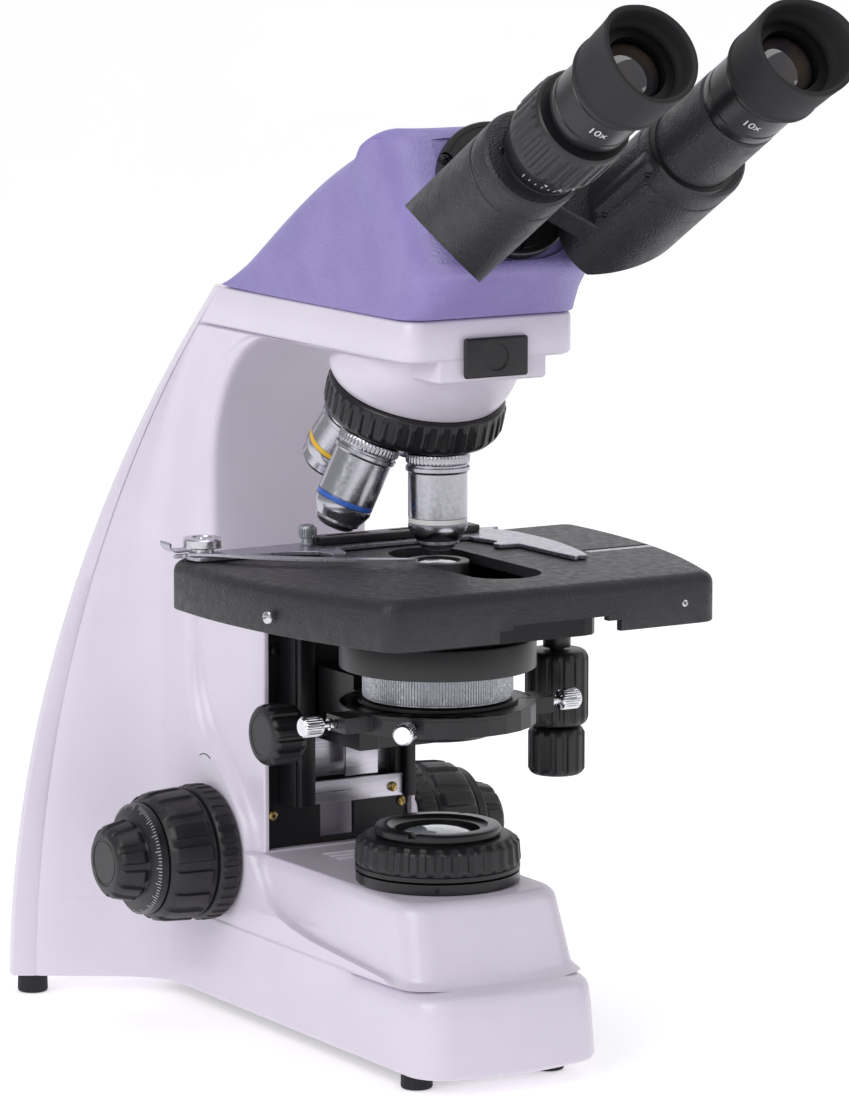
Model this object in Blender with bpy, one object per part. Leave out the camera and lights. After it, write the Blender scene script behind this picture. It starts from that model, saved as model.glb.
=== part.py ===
"""Binocular compound microscope, in metres with +Z up.

The optical axis is the vertical line X = 0, Y = 0 of the root empty. The user sits on the -Y side,
+X is the user's right hand. Every height is measured from the table under the feet.
"""
import math

import bmesh
import bpy
from mathutils import Matrix, Vector

for leftover in list(bpy.data.objects):
    bpy.data.objects.remove(leftover, do_unlink=True)

# ---- driving dimensions ------------------------------------------------------------------------
GAP = 0.0003                 # air between pieces that touch
OPTICAL_Y = 0.0050           # optical axis in front of the middle of the footprint

FOOT_HEIGHT = 0.0080
FOOT_RADIUS = 0.0065
BASE_HALF_WIDTH = 0.0430     # nose of the base
BASE_FRONT = 0.0580          # nose of the base, in front of the optical axis
LEDGE_Z = 0.0420             # top of the wide lower tier
TIER_HALF_WIDTH = 0.0400
TIER_FRONT = 0.0460
DECK_Z = 0.0750              # top of the base, under the condenser
CAVITY_HALF_WIDTH = 0.0330
CAVITY_TOP = 0.0600
WING_HALF_WIDTH = 0.0965     # rear wings at the table
REAR_Y = 0.2060
REAR_SWEEP = 0.0830          # how far the rear edge leans forward at the top
COVER_THICKNESS = 0.0026

RAIL_FACE_Y = 0.0790         # front of the column below the stage
RAIL_TOP_Z = 0.1700
THROAT_Y = 0.1210            # front of the column above the stage
ARM_HALF_WIDTH = 0.0395
ARM_FRONT = 0.0430
ARM_UNDER_Z = 0.2920
ARM_TOP_Z = 0.3090
RAIL_HALF_WIDTH = 0.0340
RAIL_THICKNESS = 0.0020
RACK_HALF_WIDTH = 0.0070

FOCUS_TRAVEL = 0.0160
SLIDE_HALF_WIDTH = 0.0280
SLIDE_FRONT_Y = 0.0680
SLIDE_GROOVE_HALF = 0.0200
SLIDE_GROOVE_DEPTH = 0.0060

STAGE_TOP_Z = 0.2080
STAGE_PLATE = 0.0040
STAGE_SKIRT = 0.0200
STAGE_FRONT = 0.0900
STAGE_BACK = 0.0520
STAGE_FRONT_HALF = 0.0765
STAGE_BACK_HALF = 0.0965
STAGE_BARREL = 0.0070        # how far the long sides bulge out
STAGE_WALL = 0.0035
SLOT_RADIUS = 0.0160
SLOT_BACK = 0.0080
SLOT_FRONT = 0.0490
LOWER_PLATE = 0.0085
LOWER_PLATE_HALF = 0.0480
STAGE_Y_BACK = 0.0450        # stage travel away from the user

HOLDER_THICKNESS = 0.0018
HOLDER_Y = 0.0400
LEVER_PIVOT_X = -0.0860
DRIVE_X = 0.0720
DRIVE_Y = 0.0245
DRIVE_SHAFT_RADIUS = 0.0058
DRIVE_KNOB_Z = 0.1600        # top of the upper drive knob
DRIVE_Y_KNOB_LENGTH = 0.0310
DRIVE_X_KNOB_LENGTH = 0.0200

CONDENSER_TRAVEL = 0.0180
CONDENSER_BOTTOM = 0.1356
CONDENSER_MOUNT_RADIUS = 0.0245
CONDENSER_BORE = 0.0090
IRIS_RADIUS = 0.0305
IRIS_Z = 0.1508
IRIS_HEIGHT = 0.0122
HOOD_RADIUS = 0.0400
HOOD_HEIGHT = 0.0128
CONDENSER_NECK = 0.0220
CONDENSER_TIP_RADIUS = 0.0130
FORK_RADIUS = 0.0400
FORK_Z = 0.1405
FORK_HEIGHT = 0.0085

FIELD_RADIUS = 0.0340
FIELD_CORE = 0.0240
FIELD_OPENING = 0.0170
FIELD_FOOT = 0.0040
FIELD_IRIS_HEIGHT = 0.0140
FIELD_CAP_HEIGHT = 0.0035
FIELD_CAP_RADIUS = 0.0256

FOCUS_AXIS_Y = 0.1130
FOCUS_AXIS_Z = 0.0715
COARSE_SHAFT_RADIUS = 0.0080
FINE_SHAFT_RADIUS = 0.0040
COLLAR_X = 0.0435
COLLAR_WIDTH = 0.0100
COLLAR_RADIUS = 0.0285
COARSE_RADIUS = 0.0270
COARSE_WIDTH = 0.0210
DIAL_RADIUS = 0.0232
DIAL_WIDTH = 0.0055
FINE_RADIUS = 0.0175
FINE_WIDTH = 0.0130

SHOULDER_Z = 0.2552          # where the objectives screw into the nosepiece
NOSE_TILT = math.radians(20)
NOSE_HOLES = 5
NOSE_HOLE_CIRCLE = 0.0215
NOSE_HOLE_RADIUS = 0.0095
NOSE_RADIUS = 0.0365
NOSE_HEIGHT = 0.0140
OBJECTIVE_RADIUS = 0.0130
OBJECTIVE_BARREL = 0.0120

DISC_Y = -0.0520             # middle of the hinge disc on the sloping face
DISC_Z = 0.3610
TUBE_TILT = math.radians(30)
DISC_RADIUS = 0.0290
DISC_THICKNESS = 0.0032
TUBE_X = 0.0340
TUBE_DROP = 0.0235
HOUSING_SHIFT = 0.0035         # barrel of the housing outside the axis of its tube
HOUSING_RADIUS = 0.0207
HOUSING_TOP = 0.0800         # measured along the tubes from the disc
TUBE_TOP = 0.1180
TUBE_RADIUS = 0.0145
TUBE_BORE = 0.0119
BARREL_RADIUS = 0.0116
EYEPIECE_RADIUS = 0.0170
EYEPIECE_TOP = 0.1550
EYECUP_RADIUS = 0.0198
EYECUP_MOUTH = 0.0202
EYECUP_TOP = 0.1680
HEAD_WALL = 0.0030

ROUND = 24                   # sides of an ordinary turned piece


# ---- materials ---------------------------------------------------------------------------------
def paint(name, colour, roughness, metallic=0.0):
    material = bpy.data.materials.new(name)
    material.use_nodes = True
    shader = material.node_tree.nodes["Principled BSDF"]
    channels = [int(colour[i:i + 2], 16) / 255 for i in (0, 2, 4)]
    linear = [c / 12.92 if c <= 0.04045 else ((c + 0.055) / 1.055) ** 2.4 for c in channels]
    shader.inputs["Base Color"].default_value = (*linear, 1)
    shader.inputs["Roughness"].default_value = roughness
    shader.inputs["Metallic"].default_value = metallic
    material.diffuse_color = (*linear, 1)
    return material


WHITE_ENAMEL = paint("white_enamel", "E4DDE6", 0.35)
PURPLE_PLASTIC = paint("purple_plastic", "8E7BC4", 0.45)
BLACK_PAINT = paint("black_paint", "1B1B1D", 0.45)
BLACK_PLASTIC = paint("black_plastic", "151517", 0.4)
RUBBER = paint("rubber", "232427", 0.8)
CHROME = paint("chrome", "D8D9DB", 0.12, 1.0)
STEEL = paint("steel", "B9BBBE", 0.3, 1.0)
ALUMINIUM = paint("aluminium", "C2C4C6", 0.35, 1.0)
BRASS = paint("brass", "B89A5A", 0.3, 1.0)
GLASS = paint("glass", "DDE6EA", 0.05)


# ---- frames and bodies -------------------------------------------------------------------------
def empty(name, at, parent=None):
    pivot = bpy.data.objects.new(name, None)
    bpy.context.scene.collection.objects.link(pivot)
    pivot.empty_display_size = 0.01
    attach(pivot, parent)
    pivot.location = at
    return pivot


def attach(thing, body):
    """Parents thing to body, and leaves its location in the root empty's frame."""
    if body is None:
        return
    thing.parent = body
    if body.parent is not None:
        thing.matrix_parent_inverse = Matrix.Translation(-body.location)


def frame(origin, x_axis, z_axis):
    """The matrix whose Z axis is z_axis and whose X axis is x_axis."""
    z_axis = Vector(z_axis).normalized()
    x_axis = Vector(x_axis).normalized()
    y_axis = z_axis.cross(x_axis)
    turned = Matrix((x_axis, y_axis, z_axis)).transposed().to_4x4()
    return Matrix.Translation(origin) @ turned


ROOT = empty("microscope", (0, OPTICAL_Y, 0))
ALONG_X = frame((0, 0, 0), (0, 1, 0), (1, 0, 0))


# ---- shape helpers -----------------------------------------------------------------------------
def add_object(name, bm, material, body, place=None, smooth=35):
    """Makes the closed mesh bm an object at place, which is a matrix in the root's frame."""
    bmesh.ops.recalc_face_normals(bm, faces=bm.faces)
    mesh = bpy.data.meshes.new(name)
    bm.to_mesh(mesh)
    bm.free()
    mesh.shade_smooth()
    mesh.set_sharp_from_angle(angle=math.radians(smooth))
    thing = bpy.data.objects.new(name, mesh)
    bpy.context.scene.collection.objects.link(thing)
    attach(thing, body)
    if place is not None:
        thing.matrix_basis = place
    if material is None:
        thing.hide_render = True
        thing.display_type = "WIRE"
    else:
        mesh.materials.append(material)
    return thing


def cut(thing, bm, place=None):
    """Cuts the closed mesh bm out of thing."""
    cutter = add_object(f"cut_{thing.name}_{len(thing.modifiers)}", bm, None, thing.parent, place)
    modifier = thing.modifiers.new("cut", "BOOLEAN")
    modifier.operation = "DIFFERENCE"
    modifier.solver = "EXACT"
    modifier.object = cutter


def join(thing, bm, place=None):
    """Joins the closed mesh bm to thing."""
    helper = add_object(f"add_{thing.name}_{len(thing.modifiers)}", bm, None, thing.parent, place)
    modifier = thing.modifiers.new("join", "BOOLEAN")
    modifier.operation = "UNION"
    modifier.solver = "EXACT"
    modifier.object = helper


def keep(thing, bm, place=None):
    """Keeps only what of thing lies inside the closed mesh bm."""
    limit = add_object(f"keep_{thing.name}_{len(thing.modifiers)}", bm, None, thing.parent, place)
    modifier = thing.modifiers.new("keep", "BOOLEAN")
    modifier.operation = "INTERSECT"
    modifier.solver = "EXACT"
    modifier.object = limit


def loft(rings, closed=False):
    """A skin over rings of equally many points, capped at both ends unless closed."""
    bm = bmesh.new()
    made = [[bm.verts.new(point) for point in ring] for ring in rings]
    pairs = list(zip(made, made[1:]))
    if closed:
        pairs.append((made[-1], made[0]))
    for lower, upper in pairs:
        for i in range(len(lower)):
            j = (i + 1) % len(lower)
            bm.faces.new((lower[i], lower[j], upper[j], upper[i]))
    if not closed:
        bm.faces.new(made[0])
        bm.faces.new(made[-1])
    return bm


def turned(profile, sides=ROUND):
    """A solid of revolution round Z. A profile (radius, z) that starts off the axis makes a ring."""
    ring_like = profile[0][0] > 0
    bm = bmesh.new()
    rows = []
    for radius, z in profile:
        if radius == 0:
            rows.append([bm.verts.new((0, 0, z))] * sides)
            continue
        angles = [2 * math.pi * i / sides for i in range(sides)]
        rows.append([bm.verts.new((radius * math.cos(a), radius * math.sin(a), z)) for a in angles])
    pairs = list(zip(rows, rows[1:]))
    if ring_like:
        pairs.append((rows[-1], rows[0]))
    for lower, upper in pairs:
        for i in range(sides):
            j = (i + 1) % sides
            corners = []
            for vert in (lower[i], lower[j], upper[j], upper[i]):
                if vert not in corners:
                    corners.append(vert)
            bm.faces.new(corners)
    return bm


def tube(inner, outer, z0, z1, sides=ROUND):
    return turned([(inner, z0), (outer, z0), (outer, z1), (inner, z1)], sides)


def rod(radius, z0, z1, sides=ROUND):
    return turned([(0, z0), (radius, z0), (radius, z1), (0, z1)], sides)


def box(low, high):
    (x0, y0, z0), (x1, y1, z1) = low, high
    ring = [(x0, y0), (x1, y0), (x1, y1), (x0, y1)]
    return loft([[(x, y, z) for x, y in ring] for z in (z0, z1)])


def prism(outline, z0, z1):
    return loft([[(x, y, z) for x, y in outline] for z in (z0, z1)])


def side_prism(outline, half_width):
    """Extrudes a (y, z) outline along X to both sides."""
    return loft([[(x, y, z) for y, z in outline] for x in (-half_width, half_width)])


def arc(centre, radius, start, end, steps):
    """Points of an arc, with the angles in degrees."""
    points = []
    for i in range(steps + 1):
        a = math.radians(start + (end - start) * i / steps)
        points.append((centre[0] + radius * math.cos(a), centre[1] + radius * math.sin(a)))
    return points


def capsule(x0, y0, x1, y1, radius, steps=8):
    """A slot outline between two points."""
    heading = math.degrees(math.atan2(y1 - y0, x1 - x0))
    far = arc((x1, y1), radius, heading - 90, heading + 90, steps)
    return far + arc((x0, y0), radius, heading + 90, heading + 270, steps)


def ribbed(levels, ribs, depth):
    """A ribbed grip round Z. levels are (radius, z), and each rib is two points high and two low."""
    rings = []
    for radius, z in levels:
        ring = []
        for i in range(4 * ribs):
            a = 2 * math.pi * (i + 0.5) / (4 * ribs)
            r = radius if i % 4 < 2 else radius - depth
            ring.append((r * math.cos(a), r * math.sin(a), z))
        rings.append(ring)
    return loft(rings)


# ---- stand: base, column and arm in one casting ------------------------------------------------
def column_fade(z):
    """Runs from 1 at the table to 0 at the arm, as the rear wings narrow."""
    return math.cos(math.pi / 2 * min(z / ARM_TOP_Z, 1)) ** 1.5


def wing_half_width(z):
    return ARM_HALF_WIDTH + (WING_HALF_WIDTH - ARM_HALF_WIDTH) * column_fade(z)


def rear_y(z):
    return REAR_Y - REAR_SWEEP * min(z / ARM_TOP_Z, 1) ** 3.9


def stand_section(z, front, half, radius, bulge, side):
    """Half of the plan outline at height z, from the middle of the front to the middle of the rear.

    front is the front face's Y, half its half-width, radius its corner, bulge how far its middle
    stands proud, and side the half-width beside the focus knobs.
    """
    wing = wing_half_width(z)
    rear = rear_y(z) - COVER_THICKNESS - 2 * GAP
    crease = rear - 0.0100 - 0.034 * column_fade(z)
    half_points = [(0.0, front - bulge), (half * 0.55, front - 0.72 * bulge)]
    half_points += arc((half - radius, front + radius), radius, -75, 0, 4)
    half_points.append((side, min(max(FOCUS_AXIS_Y, front + 2 * radius), crease) - 0.010))
    half_points.append((side + 0.0005, crease))
    half_points.append((wing, rear - 0.0100))
    half_points.append((wing - 0.0015, rear - 0.0030))
    half_points.append((wing - 0.0060, rear))
    mirrored = [(-x, y) for x, y in reversed(half_points) if x > 0]
    return [(x, y, z) for x, y in half_points + mirrored]


def throat_y(z):
    """Front of the column where it curves forward into the arm."""
    bend = ARM_UNDER_Z - 0.062
    if z <= bend:
        return THROAT_Y
    return THROAT_Y - 0.056 * (1 - math.sqrt(1 - ((z - bend) / (ARM_UNDER_Z - bend)) ** 2))


STEP = 0.0006
stand_levels = [
    (FOOT_HEIGHT, -BASE_FRONT, BASE_HALF_WIDTH, 0.016, 0.009),
    (LEDGE_Z - 0.006, -BASE_FRONT + 0.002, BASE_HALF_WIDTH - 0.0005, 0.016, 0.009),
    (LEDGE_Z, -BASE_FRONT + 0.006, BASE_HALF_WIDTH - 0.0020, 0.014, 0.007),
    (LEDGE_Z + STEP, -TIER_FRONT, TIER_HALF_WIDTH, 0.012, 0.005),
    (DECK_Z - 0.004, -TIER_FRONT + 0.010, TIER_HALF_WIDTH - 0.0032, 0.012, 0.005),
    (DECK_Z, -TIER_FRONT + 0.013, TIER_HALF_WIDTH - 0.0050, 0.011, 0.004),
    (DECK_Z + STEP, RAIL_FACE_Y, 0.0364, 0.001, 0.0),
    (0.120, RAIL_FACE_Y, 0.0364, 0.001, 0.0),
    (RAIL_TOP_Z, RAIL_FACE_Y, 0.0364, 0.001, 0.0),
    (RAIL_TOP_Z + STEP, THROAT_Y, ARM_HALF_WIDTH - 0.001, 0.003, 0.0),
    (0.205, THROAT_Y, ARM_HALF_WIDTH - 0.001, 0.003, 0.0),
]
for fraction in (0.15, 0.42, 0.62, 0.77, 0.88, 0.95, 0.99):
    height = ARM_UNDER_Z - 0.062 * (1 - fraction)
    stand_levels.append((height, throat_y(height), ARM_HALF_WIDTH - 0.001, 0.003, 0.0))
stand_levels += [
    (ARM_UNDER_Z, -ARM_FRONT + 0.0015, ARM_HALF_WIDTH - 0.0015, 0.007, 0.0),
    (ARM_UNDER_Z + 0.002, -ARM_FRONT, ARM_HALF_WIDTH, 0.007, 0.0),
    (ARM_TOP_Z - 0.001, -ARM_FRONT, ARM_HALF_WIDTH, 0.007, 0.0),
    (ARM_TOP_Z, -ARM_FRONT + 0.001, ARM_HALF_WIDTH - 0.001, 0.006, 0.0),
]
sections = []
for z, front, half, radius, bulge in stand_levels:
    flat = half if z < DECK_Z + STEP / 2 else min(half + 0.005, COLLAR_X - 0.0015)
    if z >= LEDGE_Z + STEP:
        side = COLLAR_X - 0.0015 if z < 0.14 else ARM_HALF_WIDTH
    else:
        side = half
    sections.append(stand_section(z, front, half, radius, bulge, max(side, half)))
casting = loft(sections)
bmesh.ops.triangulate(casting, faces=casting.faces)
stand = add_object("stand_casting", casting, WHITE_ENAMEL, ROOT)

SLOT_BLOCK_HALF = 0.0250
SLOT_BLOCK_LOW = 0.2840
SLOT_BLOCK_BACK = 0.0385
join(stand, box((-SLOT_BLOCK_HALF, -ARM_FRONT + 0.0004, SLOT_BLOCK_LOW),
                (SLOT_BLOCK_HALF, -SLOT_BLOCK_BACK, ARM_UNDER_Z + 0.004)))
base_cavity_front = -BASE_FRONT + 0.022
base_cavity_back = REAR_Y - 0.030
cut(stand, box((-CAVITY_HALF_WIDTH, base_cavity_front, FOOT_HEIGHT - 0.002),
               (CAVITY_HALF_WIDTH, base_cavity_back, CAVITY_TOP)))
cut(stand, rod(COARSE_SHAFT_RADIUS + GAP, -0.2, 0.2), Matrix.Translation((0, FOCUS_AXIS_Y,
                                                                         FOCUS_AXIS_Z)) @ ALONG_X)
cut(stand, rod(FIELD_OPENING + 0.001, CAVITY_TOP - 0.002, DECK_Z + 0.003))
rail_pocket_y = RAIL_FACE_Y + 0.003
cut(stand, box((-RAIL_HALF_WIDTH - GAP, RAIL_FACE_Y - 0.004, DECK_Z + 2 * STEP),
               (RAIL_HALF_WIDTH + GAP, rail_pocket_y + RAIL_THICKNESS + GAP, RAIL_TOP_Z + 0.004)))
rack_back_y = rail_pocket_y + RAIL_THICKNESS + 0.011
cut(stand, box((-RACK_HALF_WIDTH - 0.001, RAIL_FACE_Y + 0.001, DECK_Z + 0.0030),
               (RACK_HALF_WIDTH + 0.001, rack_back_y, RAIL_TOP_Z + 0.004)))
cut(stand, rod(0.0140, ARM_UNDER_Z - 0.004, ARM_TOP_Z + 0.002))

PLATE_THICKNESS = 0.0015
add_object("base_plate", box((-CAVITY_HALF_WIDTH + GAP, base_cavity_front + GAP, FOOT_HEIGHT + 0.0005),
                             (CAVITY_HALF_WIDTH - GAP, base_cavity_back - GAP,
                              FOOT_HEIGHT + 0.0005 + PLATE_THICKNESS)), BLACK_PAINT, ROOT)

foot_profile = [(0, 0), (FOOT_RADIUS - 0.0008, 0), (FOOT_RADIUS, 0.0008),
                (FOOT_RADIUS, FOOT_HEIGHT - GAP), (0, FOOT_HEIGHT - GAP)]
front_foot_x = BASE_HALF_WIDTH - 0.0120
front_foot_y = -BASE_FRONT + 0.0224
rear_foot_x = WING_HALF_WIDTH - 0.0105
rear_foot_y = REAR_Y - 0.0110
for name, x, y in (("foot_front_left", -front_foot_x, front_foot_y),
                   ("foot_front_right", front_foot_x, front_foot_y),
                   ("foot_rear_left", -rear_foot_x, rear_foot_y),
                   ("foot_rear_right", rear_foot_x, rear_foot_y)):
    add_object(name, turned(foot_profile, 20), RUBBER, ROOT, Matrix.Translation((x, y, 0)))

cover_rings = []
cover_bottom, cover_top = 0.0140, 0.3000
levels_between = [level[0] for level in stand_levels if cover_bottom < level[0] < cover_top - 0.003]
for z in [cover_bottom] + levels_between + [cover_top]:
    half = wing_half_width(z) - 0.0075
    outer = rear_y(z)
    cover_rings.append([(-half, outer - COVER_THICKNESS, z), (half, outer - COVER_THICKNESS, z),
                        (half - 0.0015, outer, z), (-half + 0.0015, outer, z)])
rear_cover = add_object("rear_cover", loft(cover_rings), WHITE_ENAMEL, ROOT)

inlet_z = 0.036
inlet_half = 0.0135
inlet_front = REAR_Y - 0.024
switch_x = 0.036
switch_half = 0.0085
for thing in (stand, rear_cover):
    cut(thing, box((-inlet_half - GAP, inlet_front - GAP, inlet_z - 0.0100 - GAP),
                   (inlet_half + GAP, REAR_Y + 0.01, inlet_z + 0.0100 + GAP)))
    cut(thing, box((switch_x - switch_half - GAP, REAR_Y - 0.010 - GAP, inlet_z - 0.0100 - GAP),
                   (switch_x + switch_half + GAP, REAR_Y + 0.01, inlet_z + 0.0100 + GAP)))
inlet = add_object("power_inlet", box((-inlet_half, inlet_front, inlet_z - 0.0100),
                                      (inlet_half, REAR_Y + 0.0012, inlet_z + 0.0100)),
                   BLACK_PLASTIC, ROOT)
cut(inlet, box((-inlet_half + 0.003, inlet_front + 0.004, inlet_z - 0.0070),
               (inlet_half - 0.003, REAR_Y + 0.005, inlet_z + 0.0070)))
rocker_half = switch_half - 0.0010
SWITCH = empty("switch_pivot", (switch_x, REAR_Y - 0.0020, inlet_z), ROOT)
rocker = [(-0.0035, 0.0), (0.0, -0.0074), (0.0035, -0.0074), (0.0018, 0.0), (0.0048, 0.0074),
          (0.0, 0.0074)]
add_object("power_switch", loft([[(x, REAR_Y - 0.0020 + y, inlet_z + z) for y, z in rocker]
                                 for x in (switch_x - rocker_half, switch_x + rocker_half)]),
           BLACK_PLASTIC, SWITCH, smooth=20)

dial_y = 0.018
dial_z = 0.026
DIAL = empty("brightness_pivot", (BASE_HALF_WIDTH, dial_y, dial_z), ROOT)
dial_place = Matrix.Translation((BASE_HALF_WIDTH - 0.0010, dial_y, dial_z)) @ ALONG_X
cut(stand, rod(0.0037, -0.014, 0.006, 16), dial_place)
brightness = add_object("brightness_dial", ribbed([(0.0095, 0.0016), (0.0100, 0.0024),
                                                   (0.0100, 0.0085), (0.0088, 0.0096)], 10, 0.0006),
                        BLACK_PLASTIC, DIAL, dial_place)
join(brightness, rod(0.0034, -0.010, 0.0030, 16), dial_place)

# ---- illuminator -------------------------------------------------------------------------------
field_z = DECK_Z + STEP + GAP
iris_low = field_z + FIELD_FOOT + GAP
iris_high = iris_low + FIELD_IRIS_HEIGHT
cap_low = iris_high + GAP
cap_high = cap_low + FIELD_CAP_HEIGHT
field_mount = add_object("field_lens_mount", turned([
    (FIELD_OPENING, field_z), (FIELD_RADIUS - 0.0005, field_z),
    (FIELD_RADIUS - 0.0005, field_z + FIELD_FOOT), (FIELD_CORE, field_z + FIELD_FOOT),
    (FIELD_CORE, cap_low), (FIELD_CAP_RADIUS, cap_low), (FIELD_CAP_RADIUS, cap_high - 0.0006),
    (FIELD_CAP_RADIUS - 0.0006, cap_high), (FIELD_OPENING, cap_high)]), BLACK_PAINT, ROOT)
cut(field_mount, box((-0.03, -0.003, cap_high - 0.0012), (0.03, 0.003, cap_high + 0.002)))
FIELD_IRIS = empty("field_iris_pivot", (0, 0, iris_low), ROOT)
field_iris = add_object("field_iris_ring",
                        ribbed([(FIELD_RADIUS, iris_low), (FIELD_RADIUS, iris_low + 0.004),
                                (FIELD_RADIUS - 0.0020, iris_high - 0.0015),
                                (FIELD_RADIUS - 0.0040, iris_high)], 20, 0.0009),
                        BLACK_PLASTIC, FIELD_IRIS)
cut(field_iris, rod(FIELD_CORE + GAP, iris_low - 0.005, iris_high + 0.005, 28))
add_object("field_lens", turned([(0, iris_low + 0.004), (FIELD_OPENING - GAP, iris_low + 0.004),
                                 (FIELD_OPENING - GAP, iris_low + 0.009), (0.010, iris_low + 0.0105),
                                 (0, iris_low + 0.011)]), GLASS, ROOT)
add_object("lamp_module", turned([(0, FOOT_HEIGHT + 0.004), (0.0150, FOOT_HEIGHT + 0.004),
                                  (0.0150, CAVITY_TOP - 0.012), (0.0060, CAVITY_TOP - 0.010),
                                  (0, CAVITY_TOP - 0.006)], 24), ALUMINIUM, ROOT)

# ---- rail and coarse focus ---------------------------------------------------------------------
rail = add_object("rail_panel", box((-RAIL_HALF_WIDTH, rail_pocket_y, DECK_Z + 2 * STEP + GAP),
                                    (RAIL_HALF_WIDTH, rail_pocket_y + RAIL_THICKNESS,
                                     RAIL_TOP_Z - GAP)), BLACK_PAINT, ROOT)
cut(rail, box((-RACK_HALF_WIDTH - 0.001, rail_pocket_y - 0.01, DECK_Z + 0.004),
              (RACK_HALF_WIDTH + 0.001, rail_pocket_y + 0.01, RAIL_TOP_Z + 0.01)))
FOCUS = empty("focus_slide_body", (0, SLIDE_FRONT_Y, STAGE_TOP_Z), ROOT)
skirt_z = STAGE_TOP_Z - STAGE_SKIRT
lower_top = skirt_z - 0.0005
lower_bottom = lower_top - LOWER_PLATE
slide_bottom = DECK_Z + FOCUS_TRAVEL + 0.0045
slide_top = lower_bottom - GAP
slide_back_y = rail_pocket_y - GAP
slide = add_object("focus_slide", box((-SLIDE_HALF_WIDTH, SLIDE_FRONT_Y, slide_bottom),
                                      (SLIDE_HALF_WIDTH, slide_back_y, slide_top)),
                   BLACK_PAINT, FOCUS)
groove_y = SLIDE_FRONT_Y + SLIDE_GROOVE_DEPTH
cut(slide, box((-SLIDE_GROOVE_HALF, SLIDE_FRONT_Y - 0.01, slide_bottom - 0.01),
               (SLIDE_GROOVE_HALF, groove_y, slide_top + 0.01)))
join(slide, box((-RACK_HALF_WIDTH, slide_back_y - 0.002, slide_bottom + 0.001),
                (RACK_HALF_WIDTH, rack_back_y - 0.0015, slide_top - 0.012)))

# ---- stage -------------------------------------------------------------------------------------
lower = add_object("stage_lower_plate",
                   prism(arc((-LOWER_PLATE_HALF + 0.008, -0.040), 0.008, 180, 270, 3)
                         + arc((LOWER_PLATE_HALF - 0.008, -0.040), 0.008, 270, 360, 3)
                         + [(LOWER_PLATE_HALF, 0.0600), (0.034, SLIDE_FRONT_Y + 0.008),
                            (-0.034, SLIDE_FRONT_Y + 0.008), (-LOWER_PLATE_HALF, 0.0600)],
                         lower_bottom, lower_top), BLACK_PAINT, FOCUS)
cut(lower, rod(CONDENSER_NECK + 0.004, lower_bottom - 0.01, lower_top + 0.01))
guide_top = STAGE_TOP_Z - STAGE_PLATE - GAP
for sign in (-1, 1):
    xs = sorted((sign * 0.0300, sign * 0.0380))
    join(lower, box((xs[0], -0.030, lower_top - 0.002), (xs[1], 0.038, guide_top)))

STAGE = empty("stage_y_body", (0, 0, STAGE_TOP_Z), FOCUS)


def stage_outline(inset):
    """Barrel-shaped plan of the stage, moved inward by inset."""
    front, back = -STAGE_FRONT + inset, STAGE_BACK - inset
    half_front, half_back = STAGE_FRONT_HALF - inset, STAGE_BACK_HALF - inset
    radius = 0.006
    right = arc((half_front - radius, front + radius), radius, -90, -15, 4)
    for i in range(1, 6):
        t = i / 6
        x = half_front + (half_back - half_front) * t + 4 * STAGE_BARREL * t * (1 - t)
        right.append((x, front + radius + (back - front - 2 * radius) * t))
    right += arc((half_back - radius, back - radius), radius, 0, 90, 4)
    return right + [(-x, y) for x, y in reversed(right)]


lip = 0.004
stage_top = add_object("stage_top", loft([
    [(x, y, skirt_z) for x, y in stage_outline(0)],
    [(x, y, STAGE_TOP_Z - lip) for x, y in stage_outline(0)],
    [(x, y, STAGE_TOP_Z - 0.0012) for x, y in stage_outline(0.0012)],
    [(x, y, STAGE_TOP_Z) for x, y in stage_outline(lip)]]), BLACK_PAINT, STAGE)
cut(stage_top, prism(stage_outline(STAGE_WALL), skirt_z - 0.01, STAGE_TOP_Z - STAGE_PLATE))
slot = capsule(0, -SLOT_FRONT, 0, SLOT_BACK, SLOT_RADIUS, 10)
cut(stage_top, prism(slot, STAGE_TOP_Z - STAGE_PLATE - 0.002, STAGE_TOP_Z + 0.01))

drive_top = STAGE_TOP_Z - STAGE_PLATE - GAP
y_knob_low = DRIVE_KNOB_Z - DRIVE_Y_KNOB_LENGTH
x_knob_high = y_knob_low - 0.0010
x_knob_low = x_knob_high - DRIVE_X_KNOB_LENGTH
add_object("drive_post", turned([(0, x_knob_low + 0.004), (0.0030, x_knob_low + 0.004),
                                 (0.0030, DRIVE_KNOB_Z + 0.0010),
                                 (DRIVE_SHAFT_RADIUS, DRIVE_KNOB_Z + 0.0010),
                                 (DRIVE_SHAFT_RADIUS, drive_top - 0.004),
                                 (0.0120, drive_top - 0.004), (0.0120, drive_top), (0, drive_top)]),
           BLACK_PAINT, STAGE, Matrix.Translation((DRIVE_X, DRIVE_Y, 0)))
STAGE_Y_KNOB = empty("stage_y_knob_pivot", (DRIVE_X, DRIVE_Y, DRIVE_KNOB_Z), STAGE)
y_knob = add_object("stage_y_knob", ribbed([(0.0120, y_knob_low), (0.0130, y_knob_low + 0.0010),
                                            (0.0130, DRIVE_KNOB_Z - 0.0012),
                                            (0.0118, DRIVE_KNOB_Z)], 12, 0.0007),
                    BLACK_PLASTIC, STAGE_Y_KNOB, Matrix.Translation((DRIVE_X, DRIVE_Y, 0)))
cut(y_knob, rod(0.0030 + GAP, y_knob_low - 0.01, DRIVE_KNOB_Z + 0.01, 16),
    Matrix.Translation((DRIVE_X, DRIVE_Y, 0)))
STAGE_X_KNOB = empty("stage_x_knob_pivot", (DRIVE_X, DRIVE_Y, x_knob_high), STAGE)
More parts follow.
